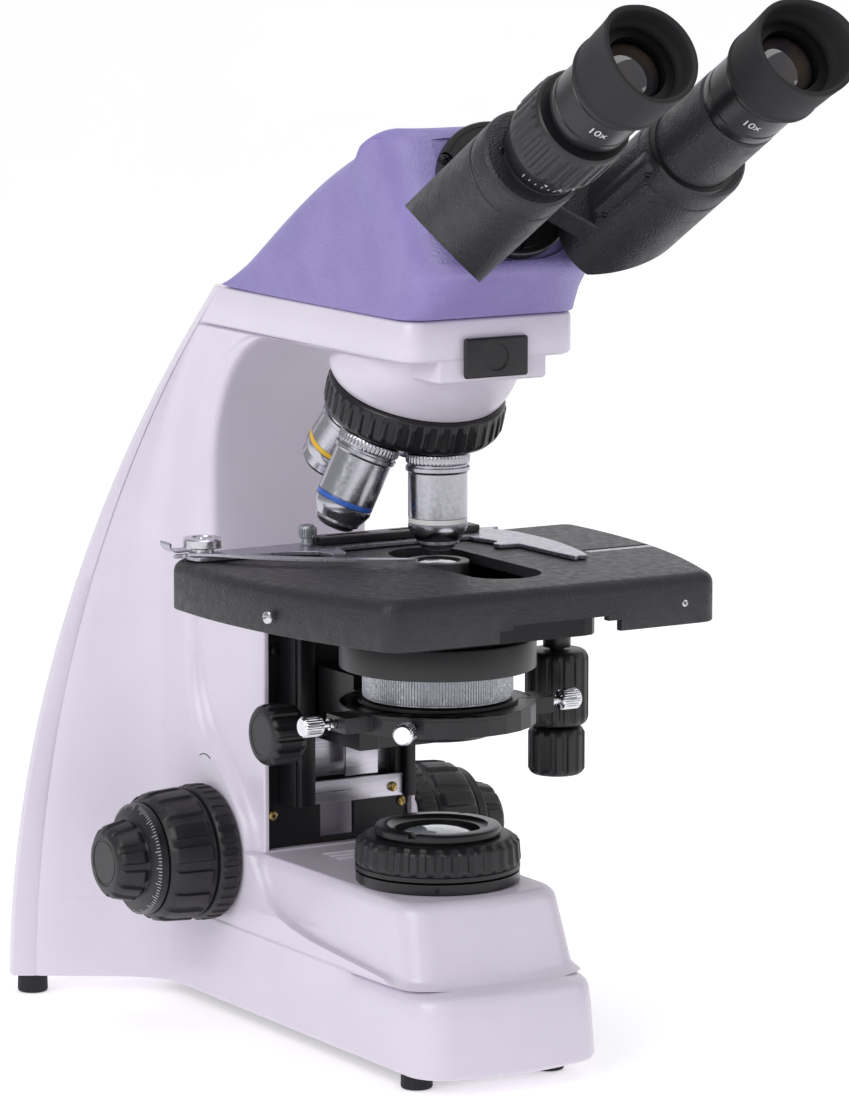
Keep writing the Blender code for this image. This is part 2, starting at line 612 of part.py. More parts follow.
x_knob = add_object("stage_x_knob", ribbed([(0.0106, x_knob_low), (0.0116, x_knob_low + 0.0010),
                                            (0.0116, x_knob_high - 0.0012),
                                            (0.0106, x_knob_high)], 11, 0.0007),
                    BLACK_PLASTIC, STAGE_X_KNOB, Matrix.Translation((DRIVE_X, DRIVE_Y, 0)))
cut(x_knob, rod(0.0030 + GAP, x_knob_low + 0.003, x_knob_high + 0.01, 16),
    Matrix.Translation((DRIVE_X, DRIVE_Y, 0)))

# ---- slide holder ------------------------------------------------------------------------------
HOLDER = empty("holder_body", (0, HOLDER_Y, STAGE_TOP_Z), STAGE)
holder_low = STAGE_TOP_Z + GAP
holder_high = holder_low + HOLDER_THICKNESS
holder_outline = [(LEVER_PIVOT_X - 0.006, HOLDER_Y - 0.008), (LEVER_PIVOT_X + 0.030, HOLDER_Y - 0.010),
                  (-0.0400, HOLDER_Y - 0.0160), (-0.0400, HOLDER_Y - 0.0250),
                  (-0.0340, HOLDER_Y - 0.0250), (-0.0300, HOLDER_Y - 0.0100),
                  (0.0300, HOLDER_Y - 0.0100), (0.0350, HOLDER_Y - 0.0300),
                  (0.0300, HOLDER_Y - 0.0320), (0.0300, HOLDER_Y - 0.0380),
                  (0.0390, HOLDER_Y - 0.0390), (0.0400, HOLDER_Y - 0.0780),
                  (0.0480, HOLDER_Y - 0.0780), (0.0560, HOLDER_Y - 0.0450),
                  (0.0540, HOLDER_Y - 0.0100), (0.0440, HOLDER_Y + 0.0060),
                  (LEVER_PIVOT_X, HOLDER_Y + 0.0070), (LEVER_PIVOT_X - 0.006, HOLDER_Y + 0.0040)]
holder = add_object("slide_holder", prism(holder_outline, holder_low, holder_high), STEEL, HOLDER)
pivot_post = 0.0022
cut(holder, rod(pivot_post + GAP, holder_low - 0.01, holder_high + 0.01, 16),
    Matrix.Translation((LEVER_PIVOT_X, HOLDER_Y, 0)))
for x in (-0.0370, 0.0210):
    join(holder, turned([(0, holder_high - 0.0010), (0.0016, holder_high - 0.0010),
                         (0.0016, holder_high + 0.0030), (0.0036, holder_high + 0.0035),
                         (0.0036, holder_high + 0.0078), (0.0030, holder_high + 0.0084),
                         (0, holder_high + 0.0084)], 16), Matrix.Translation((x, HOLDER_Y + 0.001, 0)))
LEVER = empty("clip_lever_pivot", (LEVER_PIVOT_X, HOLDER_Y, holder_high), HOLDER)
lever_low = holder_high + GAP
lever_path = [(-0.0060, 0.0), (0.010, -0.0180), (0.026, -0.0340), (0.044, -0.0490), (0.060, -0.0600)]
lever_outline = []
for i, (x, y) in enumerate(lever_path):
    width = 0.0036 - 0.0004 * i
    lever_outline.append((x + 0.6 * width, y + 0.8 * width))
for i, (x, y) in reversed(list(enumerate(lever_path))):
    width = 0.0036 - 0.0004 * i
    lever_outline.append((x - 0.6 * width, y - 0.8 * width))
lever = add_object("clip_lever", prism(lever_outline, lever_low, lever_low + 0.0012), STEEL, LEVER,
                   Matrix.Translation((LEVER_PIVOT_X, HOLDER_Y, 0)))
join(lever, turned([(0, lever_low), (0.0080, lever_low), (0.0082, lever_low + 0.0060),
                    (0.0078, lever_low + 0.0068), (0, lever_low + 0.0068)], 28),
     Matrix.Translation((LEVER_PIVOT_X, HOLDER_Y, 0)))
join(lever, rod(pivot_post, holder_low + 0.0002, lever_low + 0.001, 16),
     Matrix.Translation((LEVER_PIVOT_X, HOLDER_Y, 0)))

# ---- condenser ---------------------------------------------------------------------------------
CONDENSER = empty("condenser_body_pivot", (0, SLIDE_FRONT_Y, FORK_Z), FOCUS)
iris_top = IRIS_Z + IRIS_HEIGHT
hood_low = iris_top + GAP
hood_high = hood_low + HOOD_HEIGHT
fork_top = FORK_Z + FORK_HEIGHT
mount_flange = CONDENSER_MOUNT_RADIUS + 0.0080
tip_z = STAGE_TOP_Z - 0.0015
condenser = add_object("condenser", turned([
    (CONDENSER_BORE + GAP, CONDENSER_BOTTOM), (CONDENSER_MOUNT_RADIUS - 0.001, CONDENSER_BOTTOM),
    (CONDENSER_MOUNT_RADIUS, CONDENSER_BOTTOM + 0.001), (CONDENSER_MOUNT_RADIUS, fork_top + GAP),
    (mount_flange, fork_top + GAP), (mount_flange, IRIS_Z - GAP), (CONDENSER_NECK, IRIS_Z - GAP),
    (CONDENSER_NECK, hood_low), (HOOD_RADIUS - 0.0008, hood_low), (HOOD_RADIUS, hood_low + 0.0008),
    (HOOD_RADIUS, hood_high - 0.001), (HOOD_RADIUS - 0.001, hood_high), (CONDENSER_NECK, hood_high),
    (CONDENSER_NECK, skirt_z + 0.002), (CONDENSER_TIP_RADIUS, skirt_z + 0.009),
    (CONDENSER_TIP_RADIUS, tip_z), (CONDENSER_BORE + GAP, tip_z)], 28), BLACK_PAINT, CONDENSER)
add_object("condenser_lens", turned([(0, tip_z - 0.008), (CONDENSER_BORE, tip_z - 0.008),
                                     (CONDENSER_BORE, tip_z - 0.0015), (0.006, tip_z - 0.0003),
                                     (0, tip_z)], 28), GLASS, CONDENSER)
IRIS = empty("condenser_iris_pivot", (0, 0, IRIS_Z), CONDENSER)
add_object("condenser_iris_ring", tube(CONDENSER_NECK + GAP, IRIS_RADIUS, IRIS_Z, iris_top, 28),
           STEEL, IRIS)

fork_half = 0.0180
carrier_back = groove_y - GAP
carrier = add_object("condenser_carrier", box((-fork_half, 0.0320, FORK_Z - 0.0160),
                                              (fork_half, carrier_back, fork_top + 0.0060)),
                     BLACK_PAINT, CONDENSER)
fork_ring = arc((0, 0), FORK_RADIUS, 0, 360, 28)[:-1]
join(carrier, prism(fork_ring, FORK_Z, fork_top))
join(carrier, box((-0.0500, -0.0120, FORK_Z + 0.001), (0.0480, 0.0030, fork_top - 0.001)))
cut(carrier, rod(CONDENSER_MOUNT_RADIUS + GAP, FORK_Z - 0.03, fork_top + 0.02, 28))
cut(carrier, rod(FORK_RADIUS + 0.0010, fork_top + GAP, fork_top + 0.02, 28))
cut(carrier, rod(CONDENSER_MOUNT_RADIUS + 0.009, FORK_Z - 0.03, FORK_Z - 0.001, 28))

knob_y = 0.0655
knob_z = 0.1294
knob_in = -0.0345
CONDENSER_KNOB = empty("condenser_knob_pivot", (knob_in, knob_y - 0.006, knob_z), CONDENSER)
knob_y -= 0.006
condenser_knob_place = frame((knob_in, knob_y, knob_z), (0, 1, 0), (-1, 0, 0))
cut(carrier, rod(0.0030 + GAP, -0.0253, -0.0100, 16), condenser_knob_place)
condenser_knob = add_object("condenser_knob", ribbed([(0.0118, 0), (0.0124, 0.001), (0.0124, 0.0130),
                                                      (0.0112, 0.0144)], 12, 0.0009),
                            BLACK_PLASTIC, CONDENSER_KNOB, condenser_knob_place)
join(condenser_knob, rod(0.0030, -0.0250, 0.004, 16), condenser_knob_place)

thumb_profile = [(0, -0.0060), (0.0016, -0.0060), (0.0016, 0.0070), (0.0042, 0.0075),
                 (0.0042, 0.0155), (0.0036, 0.0163), (0, 0.0163)]
thumb_screws = (("condenser_clamp_screw", (-0.0500, -0.0045, FORK_Z + 0.0043), (-1, 0, 0)),
                ("centring_screw_right", (0.0480, -0.0045, FORK_Z + 0.0043), (1, 0, 0)),
                ("centring_screw_left", (-0.0290, -0.0290, FORK_Z + 0.0043), (-0.7, -0.7, 0)))
for name, at, heading in thumb_screws:
    pivot = empty(name + "_pivot", at, CONDENSER)
    place = frame(at, (0, 0, 1), heading)
    cut(carrier, rod(0.0016 + GAP, -0.0070, 0.01, 16), place)
    add_object(name, turned(thumb_profile, 20), STEEL, pivot, place)

# ---- focus knobs -------------------------------------------------------------------------------
focus_at = Vector((0, FOCUS_AXIS_Y, FOCUS_AXIS_Z))
COARSE = empty("coarse_focus_pivot", focus_at, ROOT)
FINE = empty("fine_focus_pivot", focus_at, ROOT)
TENSION = empty("tension_ring_pivot", focus_at, ROOT)
coarse_in = COLLAR_X + COLLAR_WIDTH + GAP
coarse_out = coarse_in + COARSE_WIDTH
hub_depth = 0.012
fine_in = coarse_out + GAP
fine_out = fine_in + DIAL_WIDTH + FINE_WIDTH
add_object("coarse_shaft", tube(FINE_SHAFT_RADIUS + GAP, COARSE_SHAFT_RADIUS,
                                -coarse_in - hub_depth + GAP, coarse_in + hub_depth - GAP, 24),
           STEEL, COARSE, Matrix.Translation(focus_at) @ ALONG_X)
for side, sign in (("left", -1), ("right", 1)):
    outward = frame(focus_at, (0, 1, 0), (sign, 0, 0))
    collar_body = TENSION if side == "left" else ROOT
    collar_name = "tension_ring" if side == "left" else "focus_collar_right"
    add_object(collar_name, turned([(COARSE_SHAFT_RADIUS + GAP, COLLAR_X), (COLLAR_RADIUS - 0.0006,
               COLLAR_X), (COLLAR_RADIUS, COLLAR_X + 0.0008), (COLLAR_RADIUS, COLLAR_X + COLLAR_WIDTH),
               (COARSE_SHAFT_RADIUS + GAP, COLLAR_X + COLLAR_WIDTH)], 28),
               BLACK_PLASTIC, collar_body, outward)
    coarse = add_object(f"coarse_knob_{side}",
                        ribbed([(COARSE_RADIUS - 0.0006, coarse_in), (COARSE_RADIUS, coarse_in + 0.0008),
                                (COARSE_RADIUS - 0.0010, coarse_out - 0.0025),
                                (COARSE_RADIUS - 0.0035, coarse_out)], 16, 0.0011),
                        BLACK_PLASTIC, COARSE, outward)
    cut(coarse, turned([(0, coarse_in - 0.01), (COARSE_SHAFT_RADIUS + GAP, coarse_in - 0.01),
                        (COARSE_SHAFT_RADIUS + GAP, coarse_in + hub_depth),
                        (FINE_SHAFT_RADIUS + GAP, coarse_in + hub_depth),
                        (FINE_SHAFT_RADIUS + GAP, coarse_out + 0.01), (0, coarse_out + 0.01)], 24),
        outward)
    dial_out = fine_in + DIAL_WIDTH
    fine = add_object(f"fine_knob_{side}",
                      ribbed([(FINE_RADIUS, dial_out - 0.002), (FINE_RADIUS, dial_out + 0.001),
                              (FINE_RADIUS - 0.0030, fine_out - 0.0012),
                              (FINE_RADIUS - 0.0045, fine_out)], 12, 0.0010),
                      BLACK_PLASTIC, FINE, outward)
    join(fine, turned([(0, fine_in), (DIAL_RADIUS, fine_in), (DIAL_RADIUS, dial_out - 0.0015),
                       (DIAL_RADIUS - 0.0020, dial_out), (0, dial_out)], 28), outward)
    if side == "left":
        join(fine, rod(FINE_SHAFT_RADIUS, -dial_out, dial_out - 0.001, 20), outward)
    else:
        cut(fine, rod(FINE_SHAFT_RADIUS + GAP, fine_in - 0.01, dial_out + GAP, 20), outward)

# ---- nosepiece and objectives ------------------------------------------------------------------
nose_axis = Vector((0, math.sin(NOSE_TILT), -math.cos(NOSE_TILT)))
toward_axis = Vector((0, -math.cos(NOSE_TILT), -math.sin(NOSE_TILT)))
nose_centre = Vector((0, 0, SHOULDER_Z)) - NOSE_HOLE_CIRCLE * toward_axis
NOSE_FRAME = frame(nose_centre, (1, 0, 0), nose_axis)
NOSE = empty("nosepiece_pivot", nose_centre, ROOT)
nosepiece = add_object("nosepiece", ribbed([(NOSE_RADIUS - 0.0015, 0.0),
                                            (NOSE_RADIUS, -0.0012),
                                            (NOSE_RADIUS, -NOSE_HEIGHT + 0.0025),
                                            (NOSE_RADIUS - 0.0010, -NOSE_HEIGHT)], 20, 0.0009),
                       BLACK_PAINT, NOSE, NOSE_FRAME)
seat_radius = NOSE_RADIUS - 0.0025
seat_rings = []
for t in (0, 0.2, 0.45, 0.7, 0.88, 1):
    ring = []
    for i in range(ROUND):
        a = 2 * math.pi * i / ROUND
        low = NOSE_FRAME @ Vector((seat_radius * math.cos(a), -seat_radius * math.sin(a),
                                   -NOSE_HEIGHT - GAP))
        high = Vector(((ARM_HALF_WIDTH - 0.004) * math.cos(a),
                       0.0060 + 0.0400 * math.sin(a), ARM_UNDER_Z - STEP - 2 * GAP))
        swell = 0.0030 * math.sin(math.pi * t) ** 0.7
        point = low.lerp(high, t)
        ring.append((point.x + swell * math.cos(a), point.y + swell * math.sin(a), point.z))
    seat_rings.append(ring)
seat = add_object("nosepiece_seat", loft(seat_rings), WHITE_ENAMEL, ROOT)
cut(seat, rod(0.0080, 0.2, 0.4, 20))

hole_angles = [math.pi / 2 + 2 * math.pi * i / NOSE_HOLES for i in range(NOSE_HOLES)]
hole_frames = []
for angle in hole_angles:
    outward = Vector((math.cos(angle), math.sin(angle), 0))
    heading = Vector((outward.x * math.sin(NOSE_TILT), outward.y * math.sin(NOSE_TILT),
                      math.cos(NOSE_TILT)))
    at = NOSE_FRAME @ (NOSE_HOLE_CIRCLE * outward)
    along = NOSE_FRAME.to_3x3() @ heading
    sideways = NOSE_FRAME.to_3x3() @ Vector((-outward.y, outward.x, 0))
    hole_frames.append(frame(at, sideways, along))
    cut(nosepiece, rod(NOSE_HOLE_RADIUS + GAP, -0.0070, 0.0200, 20), hole_frames[-1])

seat_flat = 0.0008
objectives = (("objective_100x", 0, 0.0443, 0.0053), ("objective_40x", 1, 0.0440, 0.0060),
              ("objective_10x", 2, 0.0370, 0.0075), ("objective_4x", 3, 0.0280, 0.0085))
for name, hole, length, tip in objectives:
    profile = [(0, -0.0060), (NOSE_HOLE_RADIUS, -0.0060), (NOSE_HOLE_RADIUS, seat_flat + 0.0040),
               (OBJECTIVE_RADIUS - 0.0006, seat_flat + 0.0040),
               (OBJECTIVE_RADIUS, seat_flat + 0.0048), (OBJECTIVE_RADIUS, 0.0120),
               (OBJECTIVE_BARREL, 0.0128), (OBJECTIVE_BARREL, length - 0.0100),
               (OBJECTIVE_BARREL - 0.0016, length - 0.0060), (tip + 0.0030, length - 0.0030),
               (tip, length), (0, length)]
    add_object(name, turned(profile, 20), CHROME, NOSE, hole_frames[hole])
add_object("nosepiece_plug", turned([(0, -0.0060), (NOSE_HOLE_RADIUS, -0.0060),
                                     (NOSE_HOLE_RADIUS, seat_flat + 0.004),
                                     (0.0108, seat_flat + 0.004), (0.0112, 0.0090),
                                     (0.0100, 0.0100), (0, 0.0100)], 28),
           BLACK_PLASTIC, NOSE, hole_frames[4])

cover_half = 0.0145
add_object("slider_cover", box((-cover_half, -ARM_FRONT - 0.0030, SLOT_BLOCK_LOW + 0.0015),
                               (cover_half, -ARM_FRONT - GAP, ARM_TOP_Z - 0.0075)),
           BLACK_PLASTIC, ROOT)

# ---- head --------------------------------------------------------------------------------------
HEAD = empty("head_pivot", (0, 0, ARM_TOP_Z), ROOT)
head_low = ARM_TOP_Z + GAP
plate_high = head_low + 0.0030
disc_centre = Vector((0, DISC_Y, DISC_Z))
tube_axis = Vector((0, -math.cos(TUBE_TILT), math.sin(TUBE_TILT)))
up_slope = Vector((0, math.sin(TUBE_TILT), math.cos(TUBE_TILT)))
face_centre = disc_centre - DISC_THICKNESS * tube_axis
chin = face_centre - 0.0330 * up_slope
brow = face_centre + 0.0270 * up_slope
head_profile = [(-ARM_FRONT - 0.0025, head_low), (chin.y + 0.010, chin.z - 0.011), (chin.y, chin.z),
                (brow.y, brow.z), (brow.y + 0.0100, brow.z + 0.0010), (0.0000, 0.3715),
                (0.0280, 0.3595), (0.0550, 0.3440), (0.0820, 0.3265), (0.1040, 0.3130),
                (0.1080, head_low + 0.0015), (0.1080, head_low)]
head = add_object("head_cover", side_prism(head_profile, ARM_HALF_WIDTH), PURPLE_PLASTIC, HEAD)
rounding = head.modifiers.new("rounding", "BEVEL")
rounding.width = 0.0045
rounding.segments = 3
rounding.limit_method = "ANGLE"
rounding.angle_limit = math.radians(50)
inner_profile = [(-0.0350, head_low - 0.01), (-0.0360, 0.3170), (chin.y + 0.0170, chin.z + 0.002),
                 (brow.y + 0.0050, brow.z - 0.006), (brow.y + 0.0110, brow.z - 0.005),
                 (0.0000, 0.3665), (0.0270, 0.3545), (0.0530, 0.3395), (0.0790, 0.3220),
                 (0.0890, 0.3150), (0.0890, head_low - 0.01)]
cut(head, side_prism(inner_profile, ARM_HALF_WIDTH - HEAD_WALL))
front_rounding = []
for z, front, radius in ((head_low - 0.001, -ARM_FRONT - 0.0035, 0.0090),
                         (chin.z - 0.011, chin.y + 0.0090, 0.0180),
                         (chin.z, chin.y - 0.0010, 0.0240), (DISC_Z + 0.030, chin.y - 0.0010, 0.0240)):
    side = ARM_HALF_WIDTH + 0.0010
    outline = arc((side - radius, front + radius), radius, -90, 0, 6)
    outline += [(side, 0.12), (-side, 0.12)]
    outline += arc((radius - side, front + radius), radius, 180, 270, 6)
    front_rounding.append([(x, y, z) for x, y in outline])
keep(head, loft(front_rounding))
head_plate = add_object("head_base_plate", box((-ARM_HALF_WIDTH + HEAD_WALL + 0.001, -0.0340,
                                                head_low),
                                               (ARM_HALF_WIDTH - HEAD_WALL - 0.001, 0.0880,
                                                plate_high)), BLACK_PAINT, HEAD)
join(head_plate, box((-0.0150, 0.0100, plate_high - 0.001), (0.0150, 0.0150, plate_high + 0.0197)))
join(head_plate, turned([(0, ARM_TOP_Z - 0.0090), (0.0125, ARM_TOP_Z - 0.0090), (0.0135,
                         ARM_TOP_Z - 0.002), (0.0135, head_low + 0.001), (0, head_low + 0.001)]))
cut(head_plate, rod(0.0100, ARM_TOP_Z - 0.02, plate_high + 0.01, 24))
prism_half = 0.0130
add_object("head_prism", box((-prism_half, -prism_half, plate_high + 0.0200),
                             (prism_half, prism_half, plate_high + 0.0200 + 2 * prism_half)),
           GLASS, HEAD)

LOCK = empty("head_lock_pivot", (ARM_HALF_WIDTH, 0.0, ARM_TOP_Z - 0.0070), ROOT)
lock_place = Matrix.Translation((ARM_HALF_WIDTH - 0.0010, 0, ARM_TOP_Z - 0.0070)) @ ALONG_X
cut(stand, rod(0.0020 + GAP, -0.0120, 0.01, 16), lock_place)
add_object("head_lock_screw", turned([(0, -0.0110), (0.0020, -0.0110), (0.0020, 0.0030),
                                      (0.0048, 0.0034), (0.0050, 0.0110), (0.0042, 0.0118),
                                      (0, 0.0118)], 20), BLACK_PLASTIC, LOCK, lock_place)

# ---- binocular tubes ---------------------------------------------------------------------------
BINOCULAR = frame(disc_centre, (1, 0, 0), tube_axis)
disc = add_object("hinge_disc", rod(DISC_RADIUS, -DISC_THICKNESS + GAP, 0, 32), BLACK_PAINT, HEAD,
                  BINOCULAR)
tube_reach = math.hypot(TUBE_X, TUBE_DROP)
hub_radius = tube_reach - HOUSING_RADIUS - 0.0010
hub_layer = 0.0130
eyepiece_seat = TUBE_TOP + GAP
for side, sign in (("left", -1), ("right", 1)):
    body = empty(f"housing_{side}_pivot", disc_centre, HEAD)
    hub_low = GAP if side == "left" else 2 * GAP + hub_layer
    tube_at = Matrix.Translation((sign * TUBE_X, -TUBE_DROP, 0))
    reach = Vector((sign * TUBE_X, -TUBE_DROP, 0)).normalized()
    heading = math.atan2(reach.y, reach.x)
    turn = Matrix.Rotation(heading, 4, "Z")
    housing = add_object(f"prism_housing_{side}",
                         rod(HOUSING_RADIUS, GAP, HOUSING_TOP, 28), BLACK_PAINT, body, BINOCULAR)
    housing.data.transform(Matrix.Translation((sign * (TUBE_X + HOUSING_SHIFT), -TUBE_DROP, 0)))
    web = prism([(0.0, -0.0150), (tube_reach, -0.0150), (tube_reach, 0.0150), (0.0, 0.0150)],
                hub_low, hub_low + hub_layer)
    join(housing, web, BINOCULAR @ turn)
    join(housing, rod(hub_radius, hub_low, hub_low + hub_layer, 28), BINOCULAR)
    inward = prism([(tube_reach - HOUSING_RADIUS + 0.0050, -0.0140), (tube_reach, -0.0140),
                    (tube_reach, 0.0140), (tube_reach - HOUSING_RADIUS + 0.0050, 0.0140)],
                   0.0300, HOUSING_TOP - 0.004)
    join(housing, inward, BINOCULAR @ turn)
    wedge = loft([[(x, y, a) for x, a in ((tube_reach - 0.0040, GAP - 0.006),
                                          (tube_reach + HOUSING_RADIUS + 0.03, GAP - 0.006),
                                          (tube_reach + HOUSING_RADIUS + 0.03, 0.0620 + GAP))]
                  for y in (-0.04, 0.04)])
    cut(housing, wedge, BINOCULAR @ turn)
    if side == "left":
        join(housing, rod(TUBE_RADIUS, HOUSING_TOP - 0.010, TUBE_TOP, 26), BINOCULAR @ tube_at)
    else:
        join(housing, rod(TUBE_RADIUS + 0.0027, HOUSING_TOP - 0.010, TUBE_TOP, 26),
             BINOCULAR @ tube_at)
    cut(housing, rod(TUBE_BORE, TUBE_TOP - 0.0420, TUBE_TOP + 0.02, 26), BINOCULAR @ tube_at)
    if side == "left":
        dioptre = empty("diopter_pivot", (BINOCULAR @ tube_at).translation, body)
        add_object("diopter_ring", turned([(TUBE_RADIUS + GAP, HOUSING_TOP + GAP),
                                           (0.0160, HOUSING_TOP + GAP), (0.0195, HOUSING_TOP + 0.012),
                                           (0.0200, HOUSING_TOP + 0.018), (0.0200, TUBE_TOP - 0.0030),
                                           (TUBE_RADIUS + GAP, TUBE_TOP - 0.0030)], 28),
                   BLACK_PLASTIC, dioptre, BINOCULAR @ tube_at)
    ocular = empty(f"eyepiece_{side}_pivot", (BINOCULAR @ tube_at).translation, body)
    add_object(f"eyepiece_{side}", turned([
        (0.0098, TUBE_TOP - 0.0300), (BARREL_RADIUS, TUBE_TOP - 0.0300), (BARREL_RADIUS, eyepiece_seat),
        (EYEPIECE_RADIUS - 0.001, eyepiece_seat), (EYEPIECE_RADIUS, eyepiece_seat + 0.001),
        (EYEPIECE_RADIUS, EYEPIECE_TOP), (0.0125, EYEPIECE_TOP), (0.0125, EYEPIECE_TOP - 0.009),
        (0.0098, EYEPIECE_TOP - 0.009)], 26), BLACK_PAINT, ocular, BINOCULAR @ tube_at)
    add_object(f"eye_lens_{side}", turned([(0, EYEPIECE_TOP - 0.0087), (0.0122, EYEPIECE_TOP - 0.0087),
                                           (0.0122, EYEPIECE_TOP - 0.0040), (0.0070,
                                           EYEPIECE_TOP - 0.0020), (0, EYEPIECE_TOP - 0.0014)], 28),
               GLASS, ocular, BINOCULAR @ tube_at)
    cup_low = EYEPIECE_TOP - 0.0130
    add_object(f"eyecup_{side}", turned([
        (EYEPIECE_RADIUS + GAP, cup_low), (EYECUP_RADIUS, cup_low), (EYECUP_RADIUS + 0.0005,
        EYEPIECE_TOP), (EYECUP_MOUTH, EYECUP_TOP - 0.001), (EYECUP_MOUTH - 0.0008, EYECUP_TOP),
        (EYECUP_MOUTH - 0.0022, EYECUP_TOP - 0.0005), (EYECUP_RADIUS - 0.0025, EYEPIECE_TOP + 0.004),
        (0.0160, EYEPIECE_TOP + 0.0020), (0.0160, EYEPIECE_TOP + GAP),
        (EYEPIECE_RADIUS + GAP, EYEPIECE_TOP + GAP)], 26), RUBBER, ocular, BINOCULAR @ tube_at)
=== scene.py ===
"""Looks of the binocular laboratory microscope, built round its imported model."""
import math

import bmesh
import bpy
from mathutils import Matrix, Vector, noise


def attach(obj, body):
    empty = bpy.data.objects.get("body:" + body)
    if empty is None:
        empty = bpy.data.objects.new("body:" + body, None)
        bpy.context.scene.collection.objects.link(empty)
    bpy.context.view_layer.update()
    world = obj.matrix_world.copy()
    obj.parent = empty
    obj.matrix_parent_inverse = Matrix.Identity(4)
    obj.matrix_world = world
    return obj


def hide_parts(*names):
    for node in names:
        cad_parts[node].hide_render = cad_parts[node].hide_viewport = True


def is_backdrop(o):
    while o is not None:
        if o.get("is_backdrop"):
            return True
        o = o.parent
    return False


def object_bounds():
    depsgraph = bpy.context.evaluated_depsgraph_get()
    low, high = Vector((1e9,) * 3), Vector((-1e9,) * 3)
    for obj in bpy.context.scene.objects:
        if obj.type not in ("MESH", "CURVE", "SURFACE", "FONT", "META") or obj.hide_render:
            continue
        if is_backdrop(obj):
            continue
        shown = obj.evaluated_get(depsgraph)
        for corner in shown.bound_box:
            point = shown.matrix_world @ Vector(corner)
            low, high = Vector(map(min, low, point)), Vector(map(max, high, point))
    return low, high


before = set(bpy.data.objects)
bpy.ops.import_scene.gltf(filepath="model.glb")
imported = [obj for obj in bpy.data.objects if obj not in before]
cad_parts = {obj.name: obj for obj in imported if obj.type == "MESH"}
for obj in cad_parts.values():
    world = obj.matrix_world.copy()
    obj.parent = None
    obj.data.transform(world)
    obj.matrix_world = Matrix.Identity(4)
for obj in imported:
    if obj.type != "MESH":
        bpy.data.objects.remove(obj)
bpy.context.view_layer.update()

# ---- Stand -------------------------------------------------------------------------------------
# Base, column and arm are one aluminium casting, filled, sanded and sprayed with a lilac-tinted
# white enamel. The spray leaves a fine pebbled skin that shows wherever a highlight falls. A step
# along each flank parts the narrow middle from the wide skirt of the base.


def linear(colour):
    """The linear RGBA of an sRGB hex colour."""
    channels = [int(colour[i:i + 2], 16) / 255 for i in (0, 2, 4)]
    return [c / 12.92 if c <= 0.04045 else ((c + 0.055) / 1.055) ** 2.4 for c in channels] + [1.0]


def add_node(material, kind, inputs, **settings):
    """Adds one node, sets it, and links or fills its inputs."""
    node = material.node_tree.nodes.new(kind)
    for name, value in settings.items():
        setattr(node, name, value)
    for name, value in inputs.items():
        if isinstance(value, bpy.types.NodeSocket):
            material.node_tree.links.new(value, node.inputs[name])
        else:
            node.inputs[name].default_value = value
    return node


def start_material(name, colour, roughness, metallic=0.0, **others):
    """A material with one Principled shader, and the object coordinates its patterns use."""
    material = bpy.data.materials.new(name)
    material.use_nodes = True
    material.node_tree.nodes.clear()
    shader = add_node(material, "ShaderNodeBsdfPrincipled",
                      {"Base Color": linear(colour), "Roughness": roughness,
                       "Metallic": metallic, **others})
    add_node(material, "ShaderNodeOutputMaterial", {"Surface": shader.outputs[0]})
    place = add_node(material, "ShaderNodeTexCoord", {}).outputs["Object"]
    return material, shader, place


def grain(material, shader, place, size, height, strength, kind="noise", detail=2.0):
    """Raises a pebbled skin whose grains are size metres across and height metres deep."""
    if kind == "noise":
        skin = add_node(material, "ShaderNodeTexNoise",
                        {"Vector": place, "Scale": 1 / size, "Detail": detail}).outputs[0]
    else:
        skin = add_node(material, "ShaderNodeTexVoronoi", {"Vector": place, "Scale": 1 / size},
                        feature="SMOOTH_F1").outputs["Distance"]
    bump = add_node(material, "ShaderNodeBump",
                    {"Strength": strength, "Distance": height, "Height": skin})
    material.node_tree.links.new(bump.outputs[0], shader.inputs["Normal"])
    return skin


def mottle(material, shader, place, size, low, high, target="Roughness"):
    """Varies a socket of the shader in soft patches between two values or two colours."""
    patches = add_node(material, "ShaderNodeTexNoise",
                       {"Vector": place, "Scale": 1 / size, "Detail": 3.0}).outputs[0]
    if target == "Base Color":
        ramp = add_node(material, "ShaderNodeValToRGB", {"Fac": patches})
        ramp.color_ramp.elements[0].position, ramp.color_ramp.elements[1].position = 0.35, 0.65
        ramp.color_ramp.elements[0].color = linear(low)
        ramp.color_ramp.elements[1].color = linear(high)
        out = ramp.outputs[0]
    else:
        out = add_node(material, "ShaderNodeMapRange",
                       {"Value": patches, "From Min": 0.3, "From Max": 0.7, "To Min": low,
                        "To Max": high}).outputs[0]
    material.node_tree.links.new(out, shader.inputs[target])


def loft(rings):
    """Joins rings of equal point counts into one closed skin with flat ends."""
    bm = bmesh.new()
    rows = [[bm.verts.new(p) for p in ring] for ring in rings]
    bm.faces.new(list(reversed(rows[0])))
    bm.faces.new(rows[-1])
    for low, high in zip(rows, rows[1:]):
        for i in range(len(low)):
            bm.faces.new((low[i - 1], low[i], high[i], high[i - 1]))
    bmesh.ops.recalc_face_normals(bm, faces=bm.faces)
    return bm


def finish_piece(bm, name, material, body, slot, *replaced, smooth=32):
    """Makes the mesh an object that rides on a body and stands for CAD nodes."""
    bmesh.ops.remove_doubles(bm, verts=bm.verts, dist=2e-6)
    bmesh.ops.recalc_face_normals(bm, faces=bm.faces)
    mesh = bpy.data.meshes.new(name)
    bm.to_mesh(mesh)
    bm.free()
    mesh.shade_smooth()
    mesh.set_sharp_from_angle(angle=math.radians(smooth))
    mesh.materials.append(material)
    piece = bpy.data.objects.new(name, mesh)
    bpy.context.scene.collection.objects.link(piece)
    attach(piece, body)
    if replaced:
        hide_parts(*replaced)
    return piece


